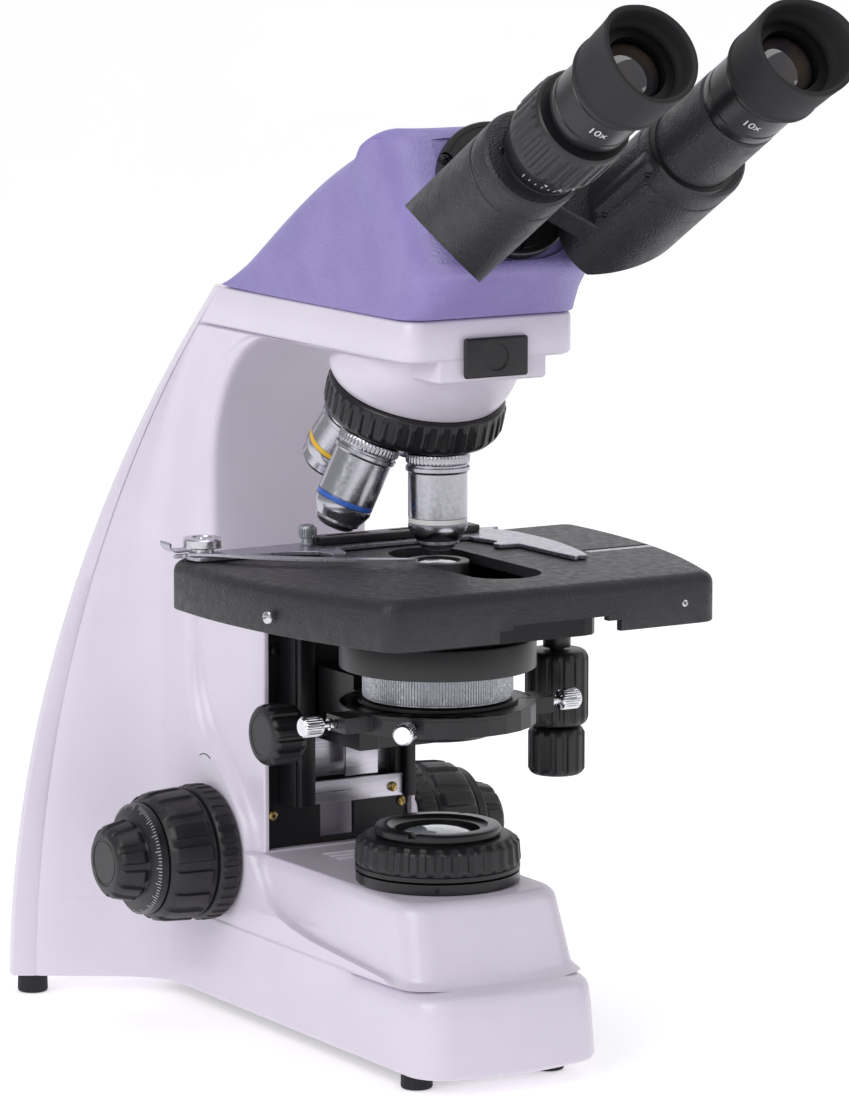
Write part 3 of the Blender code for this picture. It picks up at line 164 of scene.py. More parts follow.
def rounded(piece, width, segments=3, angle=35):
    """Rounds the sharp edges with a live bevel."""
    bevel = piece.modifiers.new("rounded edges", "BEVEL")
    bevel.width, bevel.segments, bevel.limit_method = width, segments, "ANGLE"
    bevel.angle_limit = math.radians(angle)
    bevel.harden_normals = True
    bevel.use_clamp_overlap = True
    return bevel


def carve(piece, bm, operation="DIFFERENCE"):
    """Cuts a closed mesh out of a piece with a live Boolean."""
    mesh = bpy.data.meshes.new("cutter")
    bmesh.ops.recalc_face_normals(bm, faces=bm.faces)
    bm.to_mesh(mesh)
    bm.free()
    cutter = bpy.data.objects.new("cutter_" + piece.name, mesh)
    bpy.context.scene.collection.objects.link(cutter)
    cutter.parent = piece
    cutter.hide_render = cutter.hide_viewport = True
    cutter.display_type = "WIRE"
    cut = piece.modifiers.new("cut", "BOOLEAN")
    cut.object, cut.operation, cut.solver = cutter, operation, "EXACT"


def block(low, high, radius=0.0, segments=3):
    """A box between two corners, with every edge rounded."""
    bm = bmesh.new()
    size = Vector(high) - Vector(low)
    bmesh.ops.create_cube(bm, size=1, matrix=Matrix.Translation((Vector(low) + Vector(high)) / 2)
                          @ Matrix.Diagonal((*size, 1)))
    if radius:
        bmesh.ops.bevel(bm, geom=bm.edges[:], offset=radius, segments=segments, profile=0.5,
                        affect="EDGES", material=-1)
    return bm


def turned(profile, steps=96):
    """Spins (radius, height) points round Z into a closed skin."""
    bm = bmesh.new()
    points = [bm.verts.new((r, 0, z)) for r, z in profile]
    edges = [bm.edges.new(pair) for pair in zip(points, points[1:])]
    if profile[0][0] > 0 and profile[-1] != profile[0]:
        edges.append(bm.edges.new((points[-1], points[0])))
    bmesh.ops.spin(bm, geom=points + edges, cent=(0, 0, 0), axis=(0, 0, 1), dvec=(0, 0, 0),
                   angle=2 * math.pi, steps=steps, use_merge=True, use_duplicate=False)
    bmesh.ops.remove_doubles(bm, verts=bm.verts, dist=1e-6)
    bmesh.ops.recalc_face_normals(bm, faces=bm.faces)
    return bm


def moved(bm, matrix):
    bmesh.ops.transform(bm, matrix=matrix, verts=bm.verts)
    return bm


def merged(first, *others):
    """Adds closed meshes to the first one, side by side in one mesh."""
    for other in others:
        mesh = bpy.data.meshes.new("joined")
        other.to_mesh(mesh)
        other.free()
        first.from_mesh(mesh)
        bpy.data.meshes.remove(mesh)
    return first


def blend_between(table, z):
    """Reads a smooth value from (z, value) pairs."""
    if z <= table[0][0]:
        return table[0][1]
    for (z0, v0), (z1, v1) in zip(table, table[1:]):
        if z <= z1:
            t = (z - z0) / (z1 - z0)
            return v0 + (v1 - v0) * t
    return table[-1][1]


enamel, enamel_shader, enamel_place = start_material("white_enamel_on_cast_aluminium", "D9D1DF", 0.34,
                                                     **{"Coat Weight": 0.25, "Coat Roughness": 0.22})
mottle(enamel, enamel_shader, enamel_place, 0.030, "D7CFDD", "DAD2E0", "Base Color")
grain(enamel, enamel_shader, enamel_place, 0.0011, 0.0004, 0.16, detail=1.0)

optical_y = 0.0050
arm_top, arm_under = 0.3090, 0.2920
flank_step = [(0.0424, -0.052), (0.0445, -0.030), (0.0468, 0.004), (0.0484, 0.028), (0.0506, 0.044),
              (0.0534, 0.056), (0.0575, 0.065), (0.0623, 0.071), (0.0720, 0.0785), (0.0870, 0.0865),
              (0.1010, 0.0990), (0.1120, 0.1115), (0.1227, 0.1235), (0.1380, 0.1310),
              (0.1570, 0.1335), (0.1800, 0.1335), (0.2050, 0.1315), (0.2256, 0.1265),
              (0.2430, 0.1200), (0.2540, 0.1140), (0.2660, 0.1060), (0.2780, 0.0940),
              (0.2850, 0.0830), (0.2905, 0.0640)]


def rear_line(z):
    return 0.2060 - 0.0830 * min(z / arm_top, 1) ** 3.9


def wing_line(z):
    return 0.0395 + 0.0570 * math.cos(math.pi / 2 * min(z / arm_top, 1)) ** 1.5


def throat_line(z):
    bend = arm_under - 0.062
    if z <= bend:
        return 0.1210
    return 0.1210 - 0.056 * (1 - math.sqrt(max(0, 1 - ((z - bend) / (arm_under - bend)) ** 2)))


def plan(z, front, half, radius, bulge, step_at, side):
    """The casting's outline at one height: nose, rounded corner, flank step, crease and wing."""
    wing, rear = wing_line(z), rear_line(z) - 0.0032
    fade = math.cos(math.pi / 2 * min(z / arm_top, 1)) ** 1.5
    crease = rear - 0.0100 - 0.034 * fade
    points = []
    flat = half - radius
    for i in range(9):
        t = i / 8
        points.append((flat * t, front - bulge * (1 - (flat * t / half) ** 2)))
    lead = points[-1][1]
    for i in range(1, 9):
        a = math.radians(-90 + 90 * i / 8)
        points.append((flat + radius * math.cos(a), lead + radius + radius * math.sin(a)))
    corner = lead + radius
    step_at = min(max(step_at, corner + 0.0045), crease - 0.016)
    for t in (0.33, 0.66):
        points.append((half, corner + (step_at - 0.004 - corner) * t))
    for offset, share in ((-0.0032, 0.0), (-0.0018, 0.1), (-0.0004, 0.5), (0.0010, 0.9),
                          (0.0024, 1.0)):
        points.append((half + (side - half) * share, step_at + offset))
    for t in (0.3, 0.6):
        points.append((side, step_at + 0.0024 + (crease - 0.012 - step_at - 0.0024) * t))
    run = Vector((side, crease - 0.012)), Vector((side, crease)), Vector(
        (side + (wing - side) * 0.45, crease + (rear - 0.010 - crease) * 0.45))
    for i in range(7):
        t = i / 6
        p = run[0] * (1 - t) ** 2 + run[1] * 2 * t * (1 - t) + run[2] * t * t
        points.append((p.x, p.y))
    inward = Vector((wing - side, rear - 0.010 - crease))
    inward = Vector((inward.y, -inward.x)).normalized() if inward.length > 1e-6 else Vector((1, 0))
    for t, sink in ((0.70, 0.0), (0.82, 0.0), (0.845, 0.0007), (0.87, 0.0), (1.0, 0.0)):
        points.append((side + (wing - side) * t - inward.x * sink,
                       crease + (rear - 0.010 - crease) * t - inward.y * sink))
    for a in (20, 45, 70, 90):
        a = math.radians(a)
        points.append((wing - 0.006 + 0.006 * math.cos(a), rear - 0.010 + 0.010 * math.sin(a)))
    mirrored = [(-x, y) for x, y in reversed(points) if x > 1e-6]
    return [(x, y + optical_y, z) for x, y in points + mirrored]


levels = []
for z, inset in ((0.0080, 0.0016), (0.0086, 0.0006), (0.0100, 0.0), (0.0200, 0.0), (0.0300, 0.0),
                 (0.0370, 0.0003), (0.0390, 0.0009), (0.0404, 0.0020), (0.0414, 0.0038),
                 (0.0420, 0.0062)):
    lean = 0.0025 * (z - 0.008) / 0.034
    levels.append((z, -0.0580 + lean + inset, 0.0430 - 0.0010 * (z - 0.008) / 0.034 - inset,
                   0.0165, 0.009 - 0.001 * (z - 0.008) / 0.034, 0.0, 0.0428 - max(0, 0.0012 * (0.0095 - z) / 0.0015)))
for z in (0.0424, 0.0432, 0.0445, 0.0456, 0.0468, 0.0476, 0.0484, 0.0494, 0.0506, 0.0520, 0.0534,
          0.0554, 0.0575, 0.0598, 0.0623, 0.0655, 0.0690, 0.0705, 0.0718, 0.0730, 0.0740, 0.0747,
          0.0750):
    t = (z - 0.0424) / 0.0326
    round_over = max(0.0, (z - 0.0705) / 0.0045)
    inset = 0.0035 * (1 - math.sqrt(max(0, 1 - min(1, round_over) ** 2)))
    foot = 0.0022 * max(0.0, 1 - t * 12)
    levels.append((z, -0.0465 + 0.0105 * t + inset - foot, 0.0396 - 0.0030 * t - inset + foot, 0.0125,
                   0.0055, blend_between(flank_step, z), 0.0425))
for z in (0.0756, 0.0800, 0.0870, 0.0940, 0.1010, 0.1065, 0.1120, 0.1175, 0.1227, 0.1300, 0.1380,
          0.1470, 0.1570, 0.1700):
    levels.append((z, 0.0790, 0.0364, 0.0010, 0.0, blend_between(flank_step, z),
                   0.0425 - 0.0015 * max(0, (z - 0.12) / 0.05)))
for i in range(28):
    z = 0.1706 + (arm_under - 0.0006 - 0.1706) * (1 - (1 - i / 27) ** 1.6)
    levels.append((z, throat_line(z), 0.0380, 0.0040, 0.0, blend_between(flank_step, z),
                   0.0410 - 0.0015 * min(1, (z - 0.17) / 0.04)))
for z, inset in ((arm_under, 0.0022), (arm_under + 0.0006, 0.0008), (arm_under + 0.0016, 0.0),
                 (0.3000, 0.0), (arm_top - 0.0012, 0.0), (arm_top - 0.0004, 0.0005),
                 (arm_top, 0.0014)):
    levels.append((z, -0.0430 + inset, 0.0395 - inset, 0.0085 - inset, 0.0, 0.03, 0.0395 - inset))
stand = finish_piece(loft([plan(*level) for level in levels]), "stand_casting_skin", enamel, "stand",
                     "white_enamel", "stand_casting", smooth=42)
carve(stand, block((-0.033, -0.036 + optical_y, 0.0), (0.033, 0.176 + optical_y, 0.030)))
carve(stand, block((-0.0343, 0.0750 + optical_y, 0.0762), (0.0343, 0.0843 + optical_y, 0.1740)))
carve(stand, block((-0.0080, 0.0800 + optical_y, 0.0780), (0.0080, 0.0950 + optical_y, 0.1740)))
carve(stand, moved(turned([(0, 0.028), (0.0180, 0.028), (0.0180, 0.080), (0, 0.080)], 48),
                   Matrix.Translation((0, optical_y, 0))))
carve(stand, moved(turned([(0, -0.2), (0.0083, -0.2), (0.0083, 0.2), (0, 0.2)], 48),
                   Matrix.Translation((0, 0.118, 0.0715)) @ Matrix.Rotation(math.pi / 2, 4, "Y")))
carve(stand, moved(turned([(0, -0.004), (0.0140, -0.004), (0.0140, 0.022), (0, 0.022)], 48),
                   Matrix.Translation((0, optical_y, arm_under))))
carve(stand, block((-0.0138, 0.1869, 0.0257), (0.0138, 0.2160, 0.0463)))
carve(stand, block((0.0272, 0.2007, 0.0257), (0.0448, 0.2160, 0.0463)))
carve(stand, moved(turned([(0, -0.014), (0.0037, -0.014), (0.0037, 0.006), (0, 0.006)], 32),
                   Matrix.Translation((0.0420, 0.023, 0.026)) @ Matrix.Rotation(math.pi / 2, 4, "Y")))
carve(stand, moved(turned([(0, -0.012), (0.0023, -0.012), (0.0023, 0.006), (0, 0.006)], 32),
                   Matrix.Translation((0.0385, optical_y, 0.302)) @ Matrix.Rotation(math.pi / 2, 4, "Y")))

# The seat of the optics slider stands below the arm's front edge, cast with it.
seat_block = block((-0.0250, -0.0426 + optical_y, 0.2835), (0.0250, -0.0180 + optical_y, 0.2940),
                   0.0016)
finish_piece(seat_block, "slider_seat", enamel, "stand", "white_enamel")
# Three ridges on the deck locate a filter tray.
for i in range(3):
    y = 0.0530 + optical_y + 0.0055 * i
    finish_piece(block((-0.0160, y, 0.0745), (0.0160, y + 0.0022, 0.0760), 0.0005, 2),
                 f"deck_ridge_{i + 1}", enamel, "stand", "white_enamel")

# ---- Base plate, feet and rear cover -----------------------------------------------------------
# Four moulded rubber feet are screwed under the base. A pressed steel plate closes its underside,
# and an enamelled cover, held by screws from inside, closes the back of the column.
rubber, rubber_shader, rubber_place = start_material("moulded_nitrile_rubber", "151518", 0.72)
grain(rubber, rubber_shader, rubber_place, 0.0006, 0.0002, 0.25)
foot_points = [(0, 0), (0.0056, 0), (0.0062, 0.0003), (0.0065, 0.0010), (0.0063, 0.0076), (0, 0.0077)]
for name, x, y in (("foot_front_left", -0.0310, -0.0306), ("foot_front_right", 0.0310, -0.0306),
                   ("foot_rear_left", -0.0860, 0.2000), ("foot_rear_right", 0.0860, 0.2000)):
    finish_piece(moved(turned(foot_points, 48), Matrix.Translation((x, y, 0))), name + "_skin", rubber,
                 "stand", "rubber", name)

steel_sheet, sheet_shader, sheet_place = start_material("black_powder_coated_steel", "1C1B1F", 0.5)
grain(steel_sheet, sheet_shader, sheet_place, 0.0007, 0.0003, 0.3)


def dress_node(name, material, width=0.0004):
    """Gives a CAD node that stays a real finish, welded smooth and with its edges eased."""
    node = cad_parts[name]
    node.data.materials.clear()
    node.data.materials.append(material)
    weld = node.modifiers.new("weld", "WELD")
    weld.merge_threshold = 0.000002
    if width:
        rounded(node, width, 2, 40)
    return node


dress_node("base_plate", steel_sheet)
dress_node("rear_cover", enamel, 0.0012)
dress_node("power_inlet", steel_sheet)
dress_node("power_switch", steel_sheet, 0.0006)

# ---- Rail panel and focus slide ----------------------------------------------------------------
# A black anodised aluminium panel is screwed to the front of the column. The focus slide runs up
# and down it on crossed rollers, and a bare milled plate on its lower half carries the rack.
rail_black, rail_shader, rail_place = start_material("black_anodised_aluminium", "141317", 0.38, 0.35)
grain(rail_black, rail_shader, rail_place, 0.0009, 0.0002, 0.2)
dress_node("rail_panel", rail_black)
dress_node("focus_slide", rail_black, 0.0008)
dress_node("stage_lower_plate", rail_black, 0.0008)

milled, milled_shader, milled_place = start_material("milled_bare_aluminium", "C4C1CA", 0.3, 1.0)
passes = add_node(milled, "ShaderNodeMapping", {"Vector": milled_place, "Scale": (40, 40, 1500)})
strokes = add_node(milled, "ShaderNodeTexNoise", {"Vector": passes.outputs[0], "Scale": 1.0, "Detail": 2.0})
milled_rough = add_node(milled, "ShaderNodeMapRange", {"Value": strokes.outputs[0], "To Min": 0.16,
                                                        "To Max": 0.48})
milled.node_tree.links.new(milled_rough.outputs[0], milled_shader.inputs["Roughness"])
milled_bump = add_node(milled, "ShaderNodeBump", {"Strength": 0.3, "Distance": 0.0002,
                                                  "Height": strokes.outputs[0]})
milled.node_tree.links.new(milled_bump.outputs[0], milled_shader.inputs["Normal"])
rack_plate = merged(block((-0.0195, 0.0712, 0.0965), (0.0225, 0.0729, 0.1060), 0.0003, 2),
                    block((-0.0195, 0.07885, 0.1064), (0.0195, 0.0800, 0.1260), 0.0003, 2))
finish_piece(rack_plate, "rack_plate", milled, "focus", "aluminium")
finish_piece(block((-0.0060, 0.0692, 0.1075), (0.0095, 0.0713, 0.1215), 0.0004, 2), "rack_stop_plate",
             milled, "focus", "aluminium")
finish_piece(block((-0.0275, 0.0690, 0.0960), (-0.0202, 0.0730, 0.1780), 0.0008, 2), "slide_cheek_left",
             rail_black, "focus", "black_paint")
finish_piece(block((0.0232, 0.0690, 0.0960), (0.0278, 0.0730, 0.1780), 0.0008, 2), "slide_cheek_right",
             rail_black, "focus", "black_paint")

brass, brass_shader, brass_place = start_material("yellow_zinc_plated_steel", "B7A06A", 0.28, 1.0)
mottle(brass, brass_shader, brass_place, 0.002, 0.2, 0.42)
plated, plated_shader, plated_place = start_material("nickel_plated_steel", "C9C8CE", 0.22, 1.0)
mottle(plated, plated_shader, plated_place, 0.002, 0.16, 0.34)
dark_screw, dark_shader, dark_place = start_material("black_oxide_steel", "2B292D", 0.35, 0.8)
mottle(dark_screw, dark_shader, dark_place, 0.002, 0.28, 0.5)


def facing(at, direction, spin=0.0):
    """A place at a point, with Z along a direction."""
    turn = Vector(direction).to_track_quat("Z", "Y").to_matrix().to_4x4()
    return Matrix.Translation(at) @ turn @ Matrix.Rotation(math.radians(spin), 4, "Z")


def screw_head(name, at, direction, radius, material, body, slot, drive="cross", spin=20):
    """A pan head screw, its drive recess cut into the crown."""
    h = radius * 0.55
    head = turned([(0, -h * 0.4), (radius, -h * 0.4), (radius, h * 0.25), (radius * 0.9, h * 0.62),
                   (radius * 0.62, h * 0.9), (radius * 0.3, h), (0, h * 1.02)], 32)
    piece = finish_piece(moved(head, facing(at, direction, spin)), name, material, body, slot)
    arms = [((-radius * 0.62, -radius * 0.12), (radius * 0.62, radius * 0.12))]
    if drive == "cross":
        arms.append(((-radius * 0.12, -radius * 0.62), (radius * 0.12, radius * 0.62)))
    if drive == "slot":
        arms = [((-radius * 1.1, -radius * 0.12), (radius * 1.1, radius * 0.12))]
    for (x0, y0), (x1, y1) in arms:
        carve(piece, moved(block((x0, y0, h * 0.35), (x1, y1, h * 2)), facing(at, direction, spin)))
    return piece


for i, (x, z, metal, radius) in enumerate(((-0.0295, 0.1600, dark_screw, 0.0024),
                                           (-0.0310, 0.0905, brass, 0.0022),
                                           (0.0310, 0.0905, brass, 0.0022),
                                           (0.0295, 0.1600, dark_screw, 0.0024))):
    screw_head(f"rail_screw_{i + 1}", (x, 0.0868, z), (0, -1, 0), radius, metal, "stand", "steel")
screw_head("rack_screw_1", (0.0175, 0.0710, 0.1005), (0, -1, 0), 0.0021, brass, "focus", "steel", "slot", 60)
screw_head("rack_screw_2", (0.0050, 0.0785, 0.1100), (0, -1, 0), 0.0019, brass, "focus", "steel", "slot", 30)

# ---- Focus knobs -------------------------------------------------------------------------------
# Each side carries a tension collar, a coarse knob and a fine knob on one axis. They are moulded
# ABS with grip ribs that taper out at both ends, and a white scale is printed on the fine dial.
abs_black, abs_shader, abs_place = start_material("moulded_black_abs", "18171A", 0.42)
grain(abs_black, abs_shader, abs_place, 0.0005, 0.0002, 0.18)
white_ink, ink_shader, ink_place = start_material("white_pad_printed_ink", "C9C9CC", 0.6)
mottle(white_ink, ink_shader, ink_place, 0.0008, 0.5, 0.7)


def ribs(bm, count, low, high, depth, share=0.55, fade=0.12, flat_from=0.004):
    """Raises ribs on the outer skin between two heights, tapered out at both ends."""
    for vert in bm.verts:
        radius = vert.co.xy.length
        if radius < flat_from or not low <= vert.co.z <= high:
            continue
        t = (vert.co.z - low) / (high - low)
        ends = min(1.0, t / fade if fade else 1.0, (1 - t) / fade if fade else 1.0)
        phase = abs((math.atan2(vert.co.y, vert.co.x) * count / (2 * math.pi)) % 1 - 0.5) * 2
        rise = min(1.0, max(0.0, (share - phase) / 0.16 + 0.5))
        rise = rise * rise * (3 - 2 * rise)
        vert.co.xy *= (radius + depth * rise * ends) / radius
    return bm


def between(points, gap):
    """Adds points along a profile so that no step is longer than gap."""
    dense = [points[0]]
    for (r0, z0), (r1, z1) in zip(points, points[1:]):
        count = max(1, math.ceil(math.hypot(r1 - r0, z1 - z0) / gap))
        dense += [(r0 + (r1 - r0) * i / count, z0 + (z1 - z0) * i / count) for i in range(1, count + 1)]
    return dense


focus_axis = (0, 0.118, 0.0715)
for side, sign in (("left", -1), ("right", 1)):
    out = facing(focus_axis, (sign, 0, 0))
    collar_node = "tension_ring" if side == "left" else "focus_collar_right"
    collar_body = "tension" if side == "left" else "stand"
    skin = [(0.0083, 0.0435), (0.0268, 0.0435), (0.0276, 0.0439), (0.0279, 0.0446)]
    skin += between([(0.0279, 0.0446), (0.0279, 0.0526)], 0.0008)[1:]
    skin += [(0.0275, 0.0532), (0.0268, 0.0535), (0.0083, 0.0535)]
    collar = ribs(turned(skin, 360), 36, 0.0448, 0.0525, 0.0007, 0.5, 0.1, 0.02)
    finish_piece(moved(collar, out), f"collar_{side}", abs_black, collar_body, "black_plastic",
                 collar_node, smooth=40)
    skin = [(0.0083, 0.0538), (0.0258, 0.0538), (0.0264, 0.0541), (0.0266, 0.0548)]
    skin += between([(0.0266, 0.0548), (0.0266, 0.0575), (0.0260, 0.0680), (0.0252, 0.0720)], 0.0009)[1:]
    skin += [(0.0249, 0.0732), (0.0243, 0.0741), (0.0236, 0.0747), (0.0083, 0.0747)]
    coarse = ribs(turned(skin, 288), 16, 0.0556, 0.0738, 0.0013, 0.62, 0.1, 0.02)
    finish_piece(moved(coarse, out), f"coarse_knob_{side}_skin", abs_black, "coarse", "black_plastic",
                 f"coarse_knob_{side}", smooth=40)
    skin = [(0, 0.0751), (0.0228, 0.0751), (0.0232, 0.0755), (0.0232, 0.0788), (0.0205, 0.0806),
            (0.0168, 0.0808), (0.0163, 0.0812)]
    skin += between([(0.0163, 0.0812), (0.0160, 0.0826), (0.0140, 0.0908), (0.0132, 0.0925)], 0.0008)[1:]
    skin += [(0.0124, 0.0934), (0.0112, 0.0937), (0.0100, 0.0937), (0.0097, 0.0933), (0.0090, 0.0933),
             (0.0087, 0.0936), (0, 0.0936)]
    fine = ribs(turned(skin, 240), 12, 0.0816, 0.0932, 0.0013, 0.6, 0.14, 0.0125)
    finish_piece(moved(fine, out), f"fine_knob_{side}_skin", abs_black, "fine", "black_plastic",
                 f"fine_knob_{side}", smooth=40)
    scale = None
    for i in range(100):
        if i % 50 > 47:
            continue
        length = 0.0026 if i % 5 == 0 else 0.0015
        tick = block((-0.00011, 0, -0.0001), (0.00011, length, 0.00008))
        turn = Matrix.Rotation(2 * math.pi * i / 100, 4, "Z") @ Matrix.Translation(
            (0, 0.0232, 0.0787)) @ Matrix.Rotation(math.radians(146.3), 4, "X")
        moved(tick, turn)
        scale = tick if scale is None else merged(scale, tick)
    finish_piece(moved(scale, out), f"fine_scale_{side}", white_ink, "fine", "white_enamel")
hidden_shaft = dress_node("coarse_shaft", plated, 0.0)

# A small arrow printed above the left knob shows which way the stop collar turns.
arrow = bmesh.new()
for i in range(13):
    a = math.radians(60 + 5 * i)
    centre = Vector((-0.0426, 0.1240 + 0.0085 * math.cos(a), 0.1030 + 0.0085 * math.sin(a)))
    bmesh.ops.create_cube(arrow, size=1, matrix=Matrix.Translation(centre)
                          @ Matrix.Rotation(a, 4, "X") @ Matrix.Diagonal((0.0002, 0.00035, 0.0009, 1)))
arrow_ink, arrow_shader, arrow_place = start_material("grey_pad_printed_ink", "4A464C", 0.6)
mottle(arrow_ink, arrow_shader, arrow_place, 0.0008, 0.5, 0.7)
finish_piece(arrow, "stop_arrow", arrow_ink, "stand", "black_plastic")

# The lamp's brightness wheel sits in the right flank of the base.
wheel = ribs(turned([(0, 0.0016), (0.0090, 0.0016), (0.0095, 0.0022), *between(
    [(0.0095, 0.0024), (0.0095, 0.0086)], 0.0008), (0.0088, 0.0094), (0, 0.0096)], 200), 20, 0.0024,
    0.0088, 0.0005, 0.5, 0.1)
wheel = merged(wheel, turned([(0, -0.010), (0.0034, -0.010), (0.0034, 0.0018), (0, 0.0018)], 32))
finish_piece(moved(wheel, facing((0.0420, 0.023, 0.026), (1, 0, 0))), "brightness_wheel", abs_black,
             "dial", "black_plastic", "brightness_dial")

# ---- Field lens and lamp -----------------------------------------------------------------------
# The lamp shines up through a collector lens in the deck. A black collar holds it, and a fluted
# ring round the collar opens the field iris.
anodised, anodised_shader, anodised_place = start_material("satin_black_anodising", "18171A", 0.3, 0.2)
grain(anodised, anodised_shader, anodised_place, 0.0006, 0.0001, 0.15)
over_lamp = Matrix.Translation((0, optical_y, 0))
collar = turned([(0.0172, 0.0753), (0.0330, 0.0753), (0.0334, 0.0757), (0.0334, 0.0796),
                 (0.0242, 0.0797), (0.0242, 0.0945), (0.0253, 0.0947), (0.0257, 0.0952),
                 (0.0257, 0.0972), (0.0252, 0.0979), (0.0244, 0.0982), (0.0205, 0.0982),
                 (0.0200, 0.0976), (0.0186, 0.0966), (0.0172, 0.0964)], 128)
collar = finish_piece(moved(collar, over_lamp), "field_lens_collar", anodised, "stand", "black_paint",
                      "field_lens_mount")
for turn in (35, 215):
    carve(collar, moved(block((0.0235, -0.0016, 0.0966), (0.0300, 0.0016, 0.1000)),
                        over_lamp @ Matrix.Rotation(math.radians(turn), 4, "Z")))
skin = [(0.0246, 0.0802), (0.0330, 0.0802), (0.0336, 0.0806), (0.0336, 0.0822), (0.0330, 0.0826)]
skin += between([(0.0330, 0.0826), (0.0328, 0.0840), (0.0322, 0.0915), (0.0312, 0.0928)], 0.0009)[1:]
skin += [(0.0308, 0.0936), (0.0290, 0.0941), (0.0246, 0.0941)]
fluted = ribs(turned(skin, 360), 30, 0.0826, 0.0936, 0.0011, 0.5, 0.14, 0.03)
finish_piece(moved(fluted, over_lamp), "field_iris_ring_skin", abs_black, "field_iris",
             "black_plastic", "field_iris_ring", smooth=40)
screw_head("field_set_screw", (-0.0175, -0.0238, 0.0774), (-0.5, -0.866, 0), 0.0009, dark_screw,
           "stand", "steel", "slot")

coated, coated_shader, coated_place = start_material("coated_optical_glass", "DDE6F0", 0.03,
                                                     **{"Transmission Weight": 0.55,
                                                        "Coat Weight": 1.0, "Coat Roughness": 0.02})
mottle(coated, coated_shader, coated_place, 0.02, 0.02, 0.05)
lens = turned([(0, 0.0840), (0.0170, 0.0840), (0.0170, 0.0930), (0.0150, 0.0944), (0.0120, 0.0956),
               (0.0080, 0.0965), (0.0040, 0.0970), (0, 0.0972)], 96)
finish_piece(moved(lens, over_lamp), "field_lens_glass", coated, "stand", "glass", "field_lens",
             smooth=60)
dress_node("lamp_module", milled)

# ---- Condenser ---------------------------------------------------------------------------------
# The condenser hangs in a forked carrier on its own slide. Its body is turned aluminium, painted
# black, and the iris ring round its neck is bare with a fine straight knurl.
satin_black, satin_shader, satin_place = start_material("matt_black_enamel_on_aluminium", "19181B", 0.36)
grain(satin_black, satin_shader, satin_place, 0.0006, 0.0002, 0.2)
body = turned([(0.0093, 0.1356), (0.0215, 0.1356), (0.0228, 0.1362), (0.0236, 0.1374), (0.0245, 0.1400),
               (0.0245, 0.1493), (0.0325, 0.1493), (0.0325, 0.1505), (0.0220, 0.1505),
               (0.0220, 0.1633), (0.0392, 0.1633), (0.0399, 0.1637), (0.0400, 0.1643),
               (0.0400, 0.1750), (0.0397, 0.1757), (0.0390, 0.1761), (0.0376, 0.1763),
               (0.0372, 0.1768), (0.0368, 0.1771), (0.0260, 0.1771), (0.0220, 0.1768),
               (0.0220, 0.1900), (0.0205, 0.1912), (0.0145, 0.1966), (0.0130, 0.1980),
               (0.0130, 0.2060), (0.0126, 0.2065), (0.0093, 0.2065)], 128)
finish_piece(moved(body, over_lamp), "condenser_body", satin_black, "condenser_unit", "black_paint",
             "condenser")
top_lens = turned([(0, 0.1985), (0.0091, 0.1985), (0.0091, 0.2052), (0.0075, 0.2058), (0.0050, 0.2063),
                   (0, 0.2066)], 64)
finish_piece(moved(top_lens, over_lamp), "condenser_top_lens", coated, "condenser_unit", "glass",
             "condenser_lens", smooth=60)
knurl, knurl_shader, knurl_place = start_material("knurled_bare_aluminium", "A9ABB0", 0.36, 1.0)
mottle(knurl, knurl_shader, knurl_place, 0.0012, 0.2, 0.55)
skin = [(0.0223, 0.1509), (0.0298, 0.1509), (0.0303, 0.1513), (0.0303, 0.1518)]
skin += [(0.0303, 0.1520), (0.0303, 0.1622)]
skin += [(0.0303, 0.1624), (0.0298, 0.1629), (0.0223, 0.1629)]
teeth = turned(skin, 640)
for vert in teeth.verts:
    if vert.co.xy.length > 0.0300 and 0.1519 < vert.co.z < 0.1623:
        step = round(math.atan2(vert.co.y, vert.co.x) / (2 * math.pi) * 640) % 4
        vert.co.xy *= 1 + (0.010 if step in (0, 1) else -0.006)
finish_piece(moved(teeth, over_lamp), "condenser_iris_ring_skin", knurl, "condenser_iris", "steel",
             "condenser_iris_ring", smooth=20)

carrier = dress_node("condenser_carrier", satin_black, 0.0010)
fork = turned([(0.0249, 0.1470), (0.0396, 0.1470), (0.0402, 0.1474), (0.0402, 0.1486),
               (0.0396, 0.1490), (0.0249, 0.1490)], 96)
fork = finish_piece(moved(fork, over_lamp), "fork_plate", satin_black, "condenser_unit", "black_paint")
carve(fork, moved(block((0.0100, -0.0600, 0.14), (0.0600, -0.0150, 0.15)), over_lamp))

